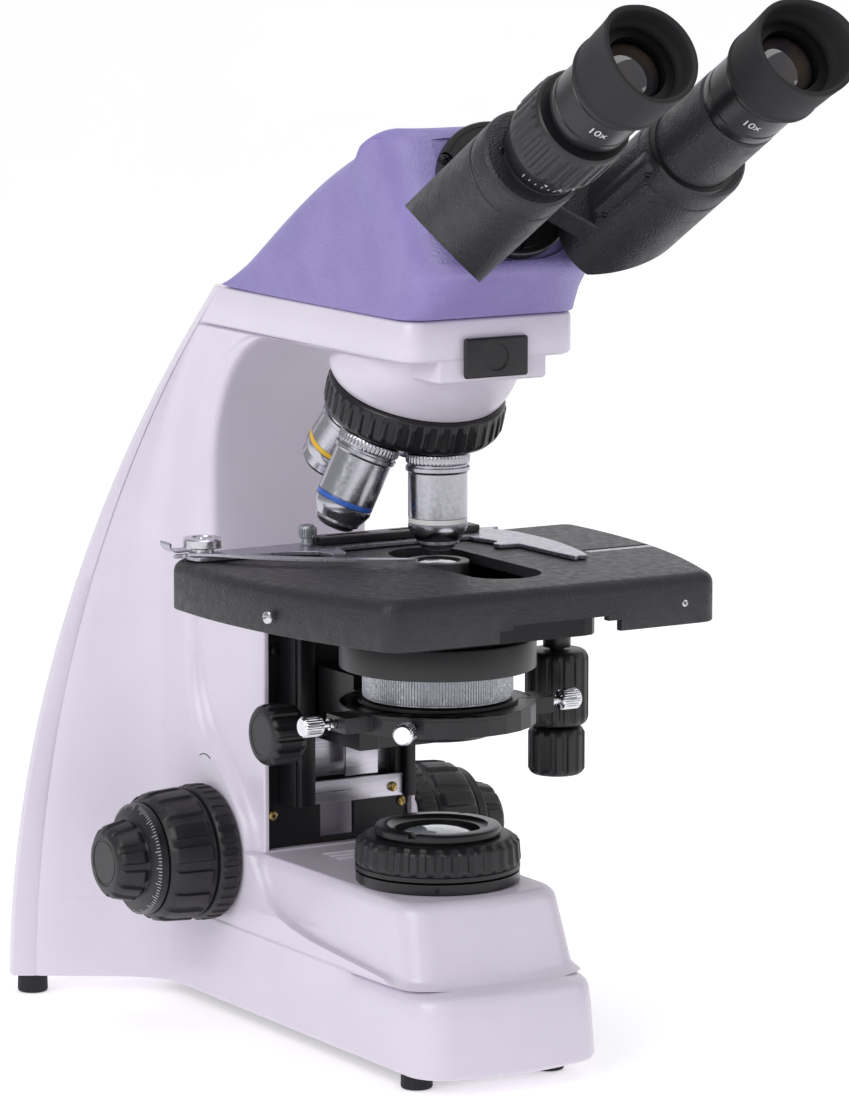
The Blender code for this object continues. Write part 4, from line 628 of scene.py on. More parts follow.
chromed, chromed_shader, chromed_place = start_material("polished_chrome_on_brass", "DADBDF", 0.07, 1.0)
mottle(chromed, chromed_shader, chromed_place, 0.004, 0.05, 0.12)
for name, node, at, heading in (("clamp_thumb_screw", "condenser_clamp_screw", (-0.0500, 0.0005, 0.1448), (-1, 0, 0)),
                                ("centring_thumb_screw_right", "centring_screw_right", (0.0480, 0.0005, 0.1448), (1, 0, 0)),
                                ("centring_thumb_screw_left", "centring_screw_left", (-0.0290, -0.0240, 0.1448), (-0.7, -0.7, 0))):
    skin = [(0, -0.0060), (0.0016, -0.0060), (0.0016, 0.0020), (0.0024, 0.0022), (0.0024, 0.0036),
            (0.0016, 0.0040), (0.0016, 0.0068), (0.0036, 0.0072), (0.0040, 0.0076)]
    skin += between([(0.0040, 0.0078), (0.0040, 0.0150)], 0.0020)
    skin += [(0.0039, 0.0155), (0.0034, 0.0160), (0, 0.0161)]
    thumb = ribs(turned(skin, 192), 24, 0.0077, 0.0152, 0.0003, 0.5, 0.02, 0.0035)
    body_name = {"condenser_clamp_screw": "clamp_screw", "centring_screw_right": "screw_right",
                 "centring_screw_left": "screw_left"}[node]
    finish_piece(moved(thumb, facing(at, heading)), name, chromed, body_name, "steel", node, smooth=30)

knob_skin = [(0, -0.0010), (0.0112, -0.0010), (0.0117, -0.0004), *between([(0.0117, 0.0), (0.0117, 0.0128)], 0.001),
             (0.0112, 0.0138), (0.0100, 0.0143), (0.0085, 0.0144), (0.0083, 0.0141), (0, 0.0141)]
knob = ribs(turned(knob_skin, 240), 16, 0.0, 0.0134, 0.0010, 0.6, 0.1, 0.01)
knob = merged(knob, turned([(0, -0.0250), (0.0030, -0.0250), (0.0030, 0.0), (0, 0.0)], 32))
finish_piece(moved(knob, facing((-0.0345, 0.0645, 0.1294), (-1, 0, 0))), "condenser_knob_skin", abs_black,
             "condenser_drive", "black_plastic", "condenser_knob", smooth=40)

# ---- Stage -------------------------------------------------------------------------------------
# The stage is one die casting with a rolled front lip, sprayed matt black with a fine leather
# grain. Its skirt is cut away in front for the condenser and at the right for the drive.
crinkle, crinkle_shader, crinkle_place = start_material("matt_black_crinkle_enamel", "1D1C21", 0.48)
grain(crinkle, crinkle_shader, crinkle_place, 0.0009, 0.0005, 0.45, "voronoi")
mottle(crinkle, crinkle_shader, crinkle_place, 0.004, 0.38, 0.56)


def stage_edge(inset, drop):
    """The stage's plan, moved inwards, at a height below its top."""
    front, back = -0.0900 + inset, 0.0520 - inset
    half_front, half_back, radius = 0.0768 - inset, 0.0960 - inset, max(0.0080 - inset, 0.0008)
    points = []
    for i in range(5):
        points.append(((half_front - radius) * i / 4, front - 0.0008 * (1 - (i / 4) ** 2)))
    for i in range(1, 9):
        a = math.radians(-90 + 84 * i / 8)
        points.append((half_front - radius + radius * math.cos(a), front + radius + radius * math.sin(a)))
    for i in range(1, 16):
        t = i / 16
        points.append((half_front + (half_back - half_front) * t + 0.0280 * t * (1 - t),
                       front + radius + (back - front - 2 * radius) * t))
    for i in range(9):
        a = math.radians(90 * i / 8)
        points.append((half_back - radius + radius * math.cos(a), back - radius + radius * math.sin(a)))
    points.append((half_back * 0.5, back))
    mirrored = [(-x, y) for x, y in reversed(points) if x > 1e-6]
    return [(x, y + optical_y, 0.2080 - drop) for x, y in points + mirrored + [(0, back)][:0]]


rings = [stage_edge(0.0004, 0.0200), stage_edge(0.0, 0.0195)]
for i in range(9):
    a = math.radians(90 * i / 8)
    rings.append(stage_edge(0.0050 * (1 - math.cos(a)), 0.0050 * (1 - math.sin(a))))
stage = finish_piece(loft(rings), "stage_casting", crinkle, "stage", "black_paint", "stage_top", smooth=40)
inner = loft([stage_edge(0.0035, 0.0260), stage_edge(0.0035, 0.0042)])
carve(stage, inner)
slot = bmesh.new()
slot_points = []
for cy, start in ((-0.0490, 180), (0.0080, 0)):
    for i in range(17):
        a = math.radians(start + 180 * i / 16)
        slot_points.append((0.0160 * math.cos(a), cy + 0.0160 * math.sin(a)))
carve(stage, loft([[(x, y + optical_y, z) for x, y in slot_points] for z in (0.2000, 0.2130)]))
carve(stage, block((-0.0260, -0.0950, 0.1860), (0.0300, -0.0700, 0.1925)))
carve(stage, block((-0.0200, -0.0950, 0.1860), (0.0240, -0.0700, 0.1945)))
carve(stage, block((0.0880, -0.0560, 0.1860), (0.1050, 0.0200, 0.1965)))
carve(stage, block((0.0580, -0.0180, 0.2072), (0.0905, -0.0110, 0.2090)))
scale_plate = block((0.0584, -0.0176, 0.2066), (0.0901, -0.0114, 0.2076), 0.0)
finish_piece(scale_plate, "stage_scale_plate", white_ink, "stage", "aluminium")
marks = None
for i in range(28):
    x = 0.0592 + 0.0011 * i
    mark = block((x, -0.0174, 0.2075), (x + 0.00022, -0.0150 if i % 5 == 0 else -0.0158, 0.20768))
    marks = mark if marks is None else merged(marks, mark)
finish_piece(marks, "stage_scale_marks", dark_screw, "stage", "black_plastic")
screw_head("skirt_screw_left", (-0.0940, -0.0230, 0.1950), (-1, -0.13, 0), 0.0026, plated, "stage", "steel", "none")
screw_head("skirt_screw_front", (0.0600, -0.0846, 0.1965), (0, -1, 0), 0.0016, plated, "stage", "steel")

post = turned([(0, 0.1120), (0.0030, 0.1120), (0.0030, 0.1610), (0.0056, 0.1612), (0.0058, 0.1616),
               (0.0058, 0.1700), (0.0066, 0.1704), (0.0066, 0.1900), (0.0120, 0.1902), (0.0120, 0.2036),
               (0, 0.2036)], 64)
finish_piece(moved(post, Matrix.Translation((0.072, 0.0295, 0))), "stage_drive_post", satin_black, "stage",
             "black_paint", "drive_post")
for name, node, body_name, low, high, radius, count in (
        ("stage_y_knob_skin", "stage_y_knob", "stage_y_drive", 0.1290, 0.1600, 0.0124, 16),
        ("stage_x_knob_skin", "stage_x_knob", "stage_x_drive", 0.1080, 0.1280, 0.0110, 14)):
    skin = [(0.0033, low), (radius - 0.0012, low), (radius - 0.0003, low + 0.0006),
            *between([(radius, low + 0.0012), (radius, high - 0.0014)], 0.0011),
            (radius - 0.0004, high - 0.0007), (radius - 0.0014, high), (0.0033, high)]
    knob = ribs(turned(skin, 240), count, low + 0.0010, high - 0.0012, 0.0008, 0.6, 0.06, 0.009)
    finish_piece(moved(knob, Matrix.Translation((0.072, 0.0295, 0))), name, abs_black, body_name,
                 "black_plastic", node, smooth=40)

# ---- Slide holder ------------------------------------------------------------------------------
# A ground stainless steel frame that the drive pulls across the stage, on a black carrier bar. A
# sprung lever, hinged on a turned post at its left end, presses the slide into its right arm.
ground, ground_shader, ground_place = start_material("ground_stainless_steel", "AFAEB8", 0.3, 1.0)
mottle(ground, ground_shader, ground_place, 0.0022, 0.24, 0.4)


def prism(points, low, high):
    """A plate with a plan of (x, y) points."""
    return loft([[(x, y, z) for x, y in points] for z in (low, high)])


def curve_through(points, steps=8):
    """Points on a smooth curve through the given ones."""
    ends = [points[0], *points, points[-1]]
    smooth = []
    for a, b, c, d in zip(ends, ends[1:], ends[2:], ends[3:]):
        for i in range(steps):
            t = i / steps
            smooth.append(tuple(0.5 * (2 * q + (r - p) * t + (2 * p - 5 * q + 4 * r - s) * t * t
                                       + (3 * q - p - 3 * r + s) * t ** 3)
                                for p, q, r, s in zip(a, b, c, d)))
    return smooth + [tuple(points[-1])]


inner_edge = curve_through([(-0.040, 0.020), (-0.034, 0.0200), (-0.0305, 0.0300), (-0.026, 0.0345),
                            (0.026, 0.0345), (0.0315, 0.0290), (0.0345, 0.0160), (0.0305, 0.0120),
                            (0.0305, 0.0070)], 5)
outer_edge = curve_through([(0.0390, 0.0060), (0.0402, -0.0310), (0.0440, -0.0328), (0.0480, -0.0310),
                            (0.0550, 0.0010), (0.0550, 0.0300), (0.0510, 0.0450), (0.0440, 0.0510),
                            (-0.0840, 0.0520), (-0.0915, 0.0490), (-0.0918, 0.0400), (-0.086, 0.0372),
                            (-0.0560, 0.0352), (-0.0420, 0.0295)], 5)
holder = finish_piece(prism(inner_edge + outer_edge, 0.2083, 0.2101), "slide_holder_frame", ground,
                      "holder", "steel", "slide_holder", smooth=25)
rounded(holder, 0.0004, 2)
bar = block((-0.0335, 0.0405, 0.2101), (0.0415, 0.0505, 0.2131), 0.0006, 2)
bar_piece = finish_piece(bar, "holder_bar", satin_black, "holder", "black_paint")
for x0, x1 in ((-0.0280, -0.0080), (0.0015, 0.0125), (0.0300, 0.0375)):
    carve(bar_piece, block((x0, 0.0450, 0.2120), (x1, 0.0475, 0.2145), 0.0004, 2))
for i, x in enumerate((-0.0370, 0.0210)):
    skin = [(0, 0), (0.0030, 0), (0.0030, 0.0020)] + between([(0.0036, 0.0024), (0.0036, 0.0066)], 0.0007)
    skin += [(0.0030, 0.0073), (0.0012, 0.0075), (0.0012, 0.0071), (0, 0.0071)]
    screw = ribs(turned(skin, 216), 24, 0.0025, 0.0066, 0.0003, 0.5, 0.1, 0.003)
    finish_piece(moved(screw, Matrix.Translation((x, 0.0460, 0.2110))), f"holder_screw_{i + 1}",
                 knurl, "holder", "steel", smooth=50)

# ---- Clip lever --------------------------------------------------------------------------------
# A curved spring steel finger with a turned crank disc over its pivot. Its tail turns up as a
# thumb rest, and a small coil spring under the disc pulls the finger home.
path = curve_through([(-0.0060, 0.0), (0.0030, -0.0080), (0.0130, -0.0225), (0.0280, -0.0370),
                      (0.0440, -0.0490), (0.0600, -0.0590), (0.0640, -0.0600)], 7)
rows = []
for i, (x, y) in enumerate(path):
    before, after = Vector(path[max(i - 1, 0)]), Vector(path[min(i + 1, len(path) - 1)])
    side = (after - before).normalized().orthogonal() * (0.0036 - 0.0022 * i / len(path))
    z = 0.2105
    rows.append([(-0.086 + x + side.x, 0.045 + y + side.y, z), (-0.086 + x + side.x, 0.045 + y + side.y,
                 z + 0.0011), (-0.086 + x - side.x, 0.045 + y - side.y, z + 0.0011),
                 (-0.086 + x - side.x, 0.045 + y - side.y, z)])
lever = finish_piece(loft(rows), "lever_finger", ground, "lever", "steel", "clip_lever", smooth=30)
rounded(lever, 0.0003, 2)
crank = turned([(0, 0), (0.0050, 0), (0.0050, 0.0016), (0.0078, 0.0019), (0.0082, 0.0024), (0.0082, 0.0052),
                (0.0077, 0.0058), (0.0046, 0.0060), (0.0044, 0.0056), (0.0018, 0.0055), (0.0016, 0.0060),
                (0, 0.0060)], 96)
finish_piece(moved(crank, Matrix.Translation((-0.086, 0.045, 0.2112))), "lever_crank", plated, "lever",
             "steel")
tail = [(-0.0925 + 0.0030 * math.cos(math.radians(a)) - 0.0030, 0.2138 - 0.0028 * math.sin(math.radians(a)))
        for a in range(90, 200, 12)]
tail_rows = [[(x, 0.0480, z), (x - 0.0009, 0.0480, z + 0.0008), (x - 0.0009, 0.0560, z + 0.0008),
              (x, 0.0560, z)] for x, z in [(-0.0880, 0.2110)] + tail]
rounded(finish_piece(loft(tail_rows), "lever_tail", ground, "lever", "steel"), 0.0002, 2)

# ---- Nosepiece ---------------------------------------------------------------------------------
# The fixed seat is part of the enamelled arm. Under it a turned black aluminium turret spins on
# ball bearings, with grip flutes round its rim and a domed face that carries the threaded holes.


def framed(origin, x_axis, z_axis):
    """A place with its Z and X axes given."""
    x_axis, z_axis = Vector(x_axis).normalized(), Vector(z_axis).normalized()
    turn = Matrix((x_axis, z_axis.cross(x_axis), z_axis)).transposed().to_4x4()
    return Matrix.Translation(origin) @ turn


tilt = math.radians(20)
nose = framed((0, 0.0252, 0.26255), (1, 0, 0), (0, math.sin(tilt), -math.cos(tilt)))
rings = []
for step in range(25):
    t = step / 24
    ring = []
    for i in range(96):
        a = 2 * math.pi * i / 96
        start = nose @ Vector((0.0340 * math.cos(a), -0.0340 * math.sin(a), -0.0143))
        end = Vector((0.0355 * math.cos(a), 0.0110 + 0.0400 * math.sin(a), 0.2916))
        point = start.lerp(end, t)
        swell = 0.0030 * math.sin(math.pi * t) ** 0.7 + 0.0022 * max(0, t - 0.75) ** 2 * 16 * 0.2
        ring.append((point.x + swell * math.cos(a), point.y + swell * math.sin(a), point.z))
    rings.append(ring)
finish_piece(loft(rings), "nosepiece_seat_casting", enamel, "stand", "white_enamel", "nosepiece_seat",
             smooth=40)
skin = [(0, -0.0140), (0.0348, -0.0140), (0.0356, -0.0136), (0.0360, -0.0128)]
skin += between([(0.0360, -0.0122), (0.0360, -0.0022)], 0.0012)
skin += [(0.0358, -0.0010), (0.0348, 0.0002), (0.0340, 0.0004), (0.0325, 0.0012)]
skin += [(0.0325 - 0.0235 * i / 6, 0.0012 + 0.0075 * math.sin(i / 6 * 1.45)) for i in range(1, 7)]
skin += [(0.0080, 0.0092), (0.0074, 0.0106), (0.0040, 0.0112), (0, 0.0112)]
turret = ribs(turned(skin, 480), 40, -0.0124, -0.0016, 0.0008, 0.36, 0.14, 0.034)
finish_piece(moved(turret, nose), "nosepiece_turret", anodised, "turret", "black_paint", "nosepiece",
             smooth=40)

# ---- Objectives --------------------------------------------------------------------------------
# Each objective is a chromed brass barrel on a knurled shoulder ring, with an enamelled colour
# band for its power and a stepped front mount that holds the glass. A plug closes the fifth hole.
barrel_metal, barrel_shader, barrel_place = start_material("satin_chromed_brass", "B7B7BE", 0.22, 1.0)
mottle(barrel_metal, barrel_shader, barrel_place, 0.0016, 0.17, 0.28)
bands = {}
for name, colour in (("white", "E6E4E2"), ("blue", "2C5FB8"), ("yellow", "E3B72A"), ("red", "B8302C")):
    bands[name], band_shader, band_place = start_material(f"{name}_band_enamel", colour, 0.35)
    grain(bands[name], band_shader, band_place, 0.0008, 0.0001, 0.1)
holes = []
for i in range(5):
    a = math.pi / 2 + 2 * math.pi * i / 5
    heading = Vector((math.cos(a) * math.sin(tilt), math.sin(a) * math.sin(tilt), math.cos(tilt)))
    at = nose @ Vector((0.0215 * math.cos(a), 0.0215 * math.sin(a), 0))
    holes.append(framed(at, nose.to_3x3() @ Vector((-math.sin(a), math.cos(a), 0)), nose.to_3x3() @ heading))
for name, hole, length, tip, band in (("100x", 0, 0.0443, 0.0053, "white"), ("40x", 1, 0.0440, 0.0060, "blue"),
                                      ("10x", 2, 0.0370, 0.0075, "yellow"), ("4x", 3, 0.0280, 0.0085, "red")):
    node = f"objective_{name}"
    shoulder = [(0, -0.0040), (0.0094, -0.0040), (0.0094, 0.0048), (0.0122, 0.0048), (0.0126, 0.0050)]
    shoulder += between([(0.0127, 0.0054), (0.0127, 0.0088)], 0.0006)
    shoulder += [(0.0125, 0.0092), (0.0120, 0.0094), (0.0120, 0.0100), (0, 0.0100)]
    finish_piece(moved(ribs(turned(shoulder, 384), 48, 0.0054, 0.0088, 0.00028, 0.5, 0.1, 0.0124), holes[hole]),
                 f"{node}_shoulder", barrel_metal, "turret", "chrome", node, smooth=50)
    top = length - 0.0105
    body = [(0, 0.0090), (0.0124, 0.0100), (0.0130, 0.0104), (0.0130, 0.0118), (0.0124, 0.0124), (0.0120, 0.0128),
            (0.0120, top - 0.0030), (0.0116, top - 0.0027), (0.0116, top - 0.0006), (0.0120, top - 0.0003),
            (0.0120, top + 0.0014), (0.0108, top + 0.0040), (tip + 0.0034, length - 0.0040), (tip + 0.0034,
            length - 0.0030), (tip + 0.0028, length - 0.0026), (0, length - 0.0026)]
    finish_piece(moved(turned(body), holes[hole]), f"{node}_barrel", barrel_metal, "turret", "chrome",
                 smooth=25)
    ring = turned([(0.0100, top - 0.0026), (0.01185, top - 0.0026), (0.01190, top - 0.0023), (0.01190, top - 0.0010),
                   (0.01185, top - 0.0007), (0.0100, top - 0.0007), (0.0100, top - 0.0026)])
    finish_piece(moved(ring, holes[hole]), f"{node}_band", bands[band], "turret", "chrome")
    front = turned([(0, length - 0.0040), (tip + 0.0018, length - 0.0040), (tip + 0.0018, length - 0.0014),
                    (tip + 0.0012, length - 0.0008), (tip, length - 0.0002), (tip - 0.0006, length),
                    (tip * 0.55, length), (tip * 0.5, length - 0.0006), (0, length - 0.0007)])
    finish_piece(moved(front, holes[hole]), f"{node}_front", anodised, "turret", "black_paint")
plug = turned([(0, -0.0040), (0.0094, -0.0040), (0.0094, 0.0044), (0.0108, 0.0048), (0.0112, 0.0054),
               (0.0112, 0.0088), (0.0105, 0.0098), (0.0060, 0.0100), (0, 0.0094)])
finish_piece(moved(plug, holes[4]), "nosepiece_hole_plug", abs_black, "turret", "black_plastic",
             "nosepiece_plug")

# ---- Slider seat cover -------------------------------------------------------------------------
# A moulded cap with a shallow finger dimple closes the slot for a polariser under the head.
cover = finish_piece(block((-0.0145, -0.0410, 0.2855), (0.0145, -0.0383, 0.3015), 0.0012, 4),
                     "slider_slot_cover", abs_black, "stand", "black_plastic", "slider_cover")
carve(cover, moved(turned([(0, 0), (0.0052, 0), (0.0052, 0.0030), (0, 0.0030)], 64),
                   facing((0, -0.0403, 0.2935), (0, -1, 0))))
rounded(cover, 0.0003, 2)

# ---- Head --------------------------------------------------------------------------------------
# The head turns on a dovetail over the arm. Its cover is moulded in purple ABS with a leather
# grain, and a sloping front face carries the hinge disc of the two eyepiece tubes.
purple, purple_shader, purple_place = start_material("grained_purple_abs", "877CB4", 0.42)
mottle(purple, purple_shader, purple_place, 0.02, "8378B0", "8B80B8", "Base Color")
grain(purple, purple_shader, purple_place, 0.0011, 0.0006, 0.38, "voronoi")
half = 0.0395
head_line = [(0.1130, 0.3093), (-0.0375, 0.3093), (-0.0405, 0.3098), (-0.0436, 0.3132),
             (-0.0507, 0.3198), (-0.0570, 0.3255), (-0.0599, 0.3283), (-0.0603, 0.3322),
             (-0.0586, 0.3347), (-0.0337, 0.3778), (-0.0312, 0.3812), (-0.0282, 0.3832),
             (-0.0235, 0.3838), (-0.0100, 0.3795), (0.0050, 0.3728), (0.0330, 0.3602),
             (0.0600, 0.3446), (0.0870, 0.3270), (0.1080, 0.3140), (0.1120, 0.3112)]
for _ in range(3):
    head_line = [tuple(p * w + q * (1 - w) for p, q in zip(a, b))
                 for a, b in zip(head_line, head_line[1:] + head_line[:1]) for w in (0.75, 0.25)]
normals = []
for i in range(len(head_line)):
    along = Vector(head_line[(i + 1) % len(head_line)]) - Vector(head_line[i - 1])
    normals.append(Vector((along.y, -along.x)).normalized())


def head_ring(x):
    """The head's side outline at a distance from its middle plane, rounded off near the flanks."""
    over = max(0.0, abs(x) - (half - 0.0075))
    drop = 0.0075 - math.sqrt(0.0075 ** 2 - min(over, 0.0075) ** 2)
    ring = []
    for (y, z), normal in zip(head_line, normals):
        lift = min(1.0, max(0.0, (z - 0.3098) / 0.012))
        radius = blend_between([(0.309, 0.0090), (0.320, 0.0180), (0.331, 0.0220), (0.39, 0.0220)], z)
        bend = min(radius, max(0.0, abs(x) - (half - radius)))
        share = min(1.0, max(0.0, (0.030 - y) / 0.055))
        back = (radius - math.sqrt(radius ** 2 - bend ** 2)) * share * share * (3 - 2 * share)
        top = min(1.0, max(0.0, (-normal.y - 0.55) / 0.25))
        sink = 0.5 * back * top * min(1.0, max(0.0, (y + 0.0235) / 0.012))
        ring.append((x, y + normal.x * drop * (1 - share) * lift * top + back,
                     z + normal.y * drop * lift * top - sink))
    return ring


stations = [half - 0.0220 * (1 - math.sin(math.radians(90 * i / 16))) for i in range(17)]
stations = [-x for x in reversed(stations)] + stations
shell = loft([head_ring(x) for x in stations])
bmesh.ops.triangulate(shell, faces=[f for f in shell.faces if len(f.verts) > 4], ngon_method="EAR_CLIP")
head_cover = finish_piece(shell, "head_shell", purple, "head", "purple_plastic", "head_cover", smooth=50)
hollow = [(-0.0300, 0.3000), (-0.0310, 0.3170), (-0.0437, 0.3328), (-0.0257, 0.3768), (-0.0197, 0.3778),
          (0.0050, 0.3665), (0.0320, 0.3545), (0.0580, 0.3395), (0.0840, 0.3220), (0.0940, 0.3150),
          (0.0940, 0.3000)]
carve(head_cover, loft([[(x, y, z) for y, z in hollow] for x in (-0.0345, 0.0345)]))
binocular = framed((0, -0.0470, 0.3610), (1, 0, 0), (0, -math.cos(math.radians(30)), 0.5))


def round_plate(half_x, low_y, high_y, radius, low, high, low_radius=None):
    """A plate with round corners, its lower ones with their own radius."""
    low_radius = low_radius or radius
    points = []
    for cx, cy, r, start in ((half_x - radius, high_y - radius, radius, 0),
                             (radius - half_x, high_y - radius, radius, 90),
                             (low_radius - half_x, low_y + low_radius, low_radius, 180),
                             (half_x - low_radius, low_y + low_radius, low_radius, 270)):
        points += [(cx + r * math.cos(math.radians(start + 9 * i)),
                    cy + r * math.sin(math.radians(start + 9 * i))) for i in range(11)]
    return prism(points, low, high)


carve(head_cover, moved(round_plate(0.0325, -0.0300, 0.0240, 0.0080, -0.0044, 0.02, 0.0260), binocular))
dress_node("head_base_plate", satin_black, 0.0003)
dress_node("head_prism", coated, 0.0003)
skin = [(0, -0.0110), (0.0020, -0.0110), (0.0020, 0.0026), (0.0044, 0.0030)]
skin += between([(0.0047, 0.0034), (0.0047, 0.0106)], 0.0009) + [(0.0040, 0.0116), (0, 0.0118)]
lock = ribs(turned(skin, 192), 20, 0.0036, 0.0106, 0.0003, 0.5, 0.12, 0.0045)
finish_piece(moved(lock, facing((0.0385, optical_y, 0.3020), (1, 0, 0))), "head_lock_knob", abs_black,
             "lock", "black_plastic", "head_lock_screw", smooth=45)
disc = turned([(0, -0.0044), (0.0285, -0.0044), (0.0290, -0.0040), (0.0290, -0.0006), (0.0284, 0),
               (0.0268, 0), (0.0266, -0.0003), (0.0262, -0.0003), (0.0260, 0), (0, 0)], 160)
hinge = finish_piece(moved(disc, binocular), "hinge_plate", satin_black, "head", "black_paint",
                     "hinge_disc")
for i, (x, y) in enumerate(((-0.0232, 0.0133), (-0.0020, -0.0236))):
    carve(hinge, moved(turned([(0, -0.0019), (0.0032, -0.0019), (0.0032, 0.003), (0, 0.003)], 48),
                       binocular @ Matrix.Translation((x, y, 0))))
    at = binocular @ Vector((x, y, -0.0014))
    screw_head(f"hinge_screw_{i + 1}", at, binocular.to_3x3() @ Vector((0, 0, 1)), 0.0028, dark_screw,
               "head", "steel")

# ---- Binocular housings ------------------------------------------------------------------------
# Two die cast prism housings swing on one hub, so that the tubes fit the width of the eyes. They
# are sprayed with a black stipple enamel, and screwed plates overlap in the middle.
stipple, stipple_shader, stipple_place = start_material("black_stipple_enamel", "1E1D21", 0.46)
grain(stipple, stipple_shader, stipple_place, 0.0008, 0.0005, 0.5, "voronoi")
mottle(stipple, stipple_shader, stipple_place, 0.006, 0.38, 0.54)
reach = math.hypot(0.0340, 0.0235)
for side, sign in (("left", -1), ("right", 1)):
    low = 0.0003 if side == "left" else 0.0136
    turn = Matrix.Rotation(math.atan2(-0.0235, sign * 0.0340), 4, "Z")
    tube_at = binocular @ Matrix.Translation((sign * 0.0340, -0.0235, 0))
    barrel = turned([(0, 0.0003), (0.0200, 0.0003), (0.0206, 0.0010), (0.0207, 0.0018), (0.0207, 0.0668),
                     (0.0203, 0.0672), (0.0203, 0.0684), (0.0207, 0.0688), (0.0207, 0.0770), (0.0203, 0.0786),
                     (0.0192, 0.0797), (0.0178, 0.0800), (0, 0.0800)], 128)
    housing = finish_piece(moved(barrel, binocular @ Matrix.Translation((sign * 0.0375, -0.0235, 0))),
                           f"housing_{side}", stipple, f"housing_{side}", "black_paint",
                           f"prism_housing_{side}", smooth=28)
    web = block((0, -0.0150, low), (reach, 0.0150, low + 0.0130), 0.0012, 3)
    carve(housing, moved(web, binocular @ turn), "UNION")
    hub = turned([(0, low), (0.0191, low), (0.0199, low + 0.0008), (0.0199, low + 0.0120), (0.0191, low + 0.0130),
                  (0, low + 0.0130)], 128)
    carve(housing, moved(hub, binocular), "UNION")
    inward = block((reach - 0.0157, -0.0140, 0.0300), (reach, 0.0140, 0.0760), 0.0036, 5)
    carve(housing, moved(inward, binocular @ turn), "UNION")
    wedge = loft([[(x, y, a) for x, a in ((reach - 0.0040, -0.0057), (reach + 0.0507, -0.0057),
                                          (reach + 0.0507, 0.0623))] for y in (-0.04, 0.04)])
    carve(housing, moved(wedge, binocular @ turn))
    sleeve = 0.0145 if side == "left" else 0.0172
    tube = turned([(0, 0.0700), (sleeve, 0.0700), (sleeve, 0.1165), (sleeve - 0.0006, 0.1176), (sleeve - 0.0014,
                   0.1180), (0, 0.1180)], 128)
    carve(housing, moved(tube, tube_at), "UNION")
    carve(housing, moved(turned([(0, 0.0760), (0.0119, 0.0760), (0.0119, 0.1400), (0, 0.1400)], 96), tube_at))
    finish_piece(moved(turned([(sleeve + 0.0002, 0.0800), (sleeve + 0.0022, 0.0800), (sleeve + 0.0018, 0.0812),
                               (sleeve + 0.0002, 0.0816), (sleeve + 0.0002, 0.0800)]), tube_at),
                 f"housing_{side}_seal", anodised, f"housing_{side}", "black_paint")
tube_up = binocular.to_3x3() @ Vector((0, 0, 1))
for side, x, y, a in (("left", -0.0505, -0.0203, 0.0800), ("left", -0.0170, -0.0330, 0.0800),
                      ("right", 0.0185, -0.0242, 0.0760), ("right", 0.0520, -0.0300, 0.0800)):
    screw_head(f"cap_screw_{side}_{round(abs(x) * 1e4)}", binocular @ Vector((x, y, a)), tube_up, 0.0017,
               dark_screw, f"housing_{side}", "steel", "cross", 25)
for side, sign in (("left", -1), ("right", 1)):
    turn = binocular @ Matrix.Rotation(math.atan2(-0.0235, sign * 0.0340), 4, "Z")
    outward = turn.to_3x3() @ Vector((0, -sign, 0))
    for i, a in enumerate((0.0345, 0.0700)):
        screw_head(f"panel_screw_{side}_{i + 1}", turn @ Vector((0.0310, -sign * 0.0140, a)), outward, 0.0016,
                   dark_screw, f"housing_{side}", "steel", "cross", 40 * i)
ticks = bmesh.new()
for i in range(7):
    a = math.radians(38 + 6 * i)
    place = binocular @ Matrix.Rotation(a, 4, "Z") @ Matrix.Translation((0.0172, 0, 0.0266))
    merged(ticks, moved(block((-0.0014 if i % 3 == 0 else -0.0006, -0.00012, 0), (0.0014, 0.00012, 0.0001)), place))
finish_piece(ticks, "eye_distance_scale", white_ink, "housing_right", "black_paint")



def printed(name, words, size, place, radius, body, slot="white_enamel"):
    """Words printed round a turned part, centred at X of the place and wrapped on its radius."""
    curve = bpy.data.curves.new(name, "FONT")
    curve.body, curve.size, curve.extrude = words, size, 0.00006
    curve.align_x = curve.align_y = "CENTER"
    source = bpy.data.objects.new(name + "_source", curve)
    bpy.context.scene.collection.objects.link(source)
    bpy.context.view_layer.update()
    mesh = bpy.data.meshes.new_from_object(source)
    bpy.data.objects.remove(source)
    bm = bmesh.new()
    bm.from_mesh(mesh)
    for vert in bm.verts:
        a = vert.co.x / radius
        vert.co = ((radius + vert.co.z) * math.cos(a), (radius + vert.co.z) * math.sin(a), vert.co.y)
    return finish_piece(moved(bm, place), name, white_ink, body, slot)


# ---- Dioptre ring ------------------------------------------------------------------------------
# Only the left tube has one: a moulded collar that widens to a fluted grip, with its scale printed
# in white on the cone.
left_tube = binocular @ Matrix.Translation((-0.0340, -0.0235, 0))
skin = [(0.0148, 0.0803), (0.0156, 0.0803), (0.0160, 0.0810), (0.0192, 0.0915), (0.0197, 0.0928)]
skin += between([(0.0197, 0.0935), (0.0197, 0.1130)], 0.0010) + [(0.0195, 0.1142), (0.0187, 0.1150), (0.0148, 0.1150)]
ring = ribs(turned(skin, 360), 30, 0.0938, 0.1128, 0.0006, 0.5, 0.1, 0.0190)
finish_piece(moved(ring, left_tube), "dioptre_collar", abs_black, "diopter", "black_plastic",
             "diopter_ring", smooth=40)
ticks = bmesh.new()
for i in range(-5, 6):
    a = math.radians(-100 + 9 * i)
    at = Vector((0.0179 * math.cos(a), 0.0179 * math.sin(a), 0.0872))
    place = framed(at, (-math.sin(a), math.cos(a), 0), (math.cos(a), math.sin(a), -0.305))
    long = 0.0026 if i % 5 == 0 else 0.0015
    merged(ticks, moved(block((-0.00014, -long, 0), (0.00014, long * 0.2, 0.0001)), place))
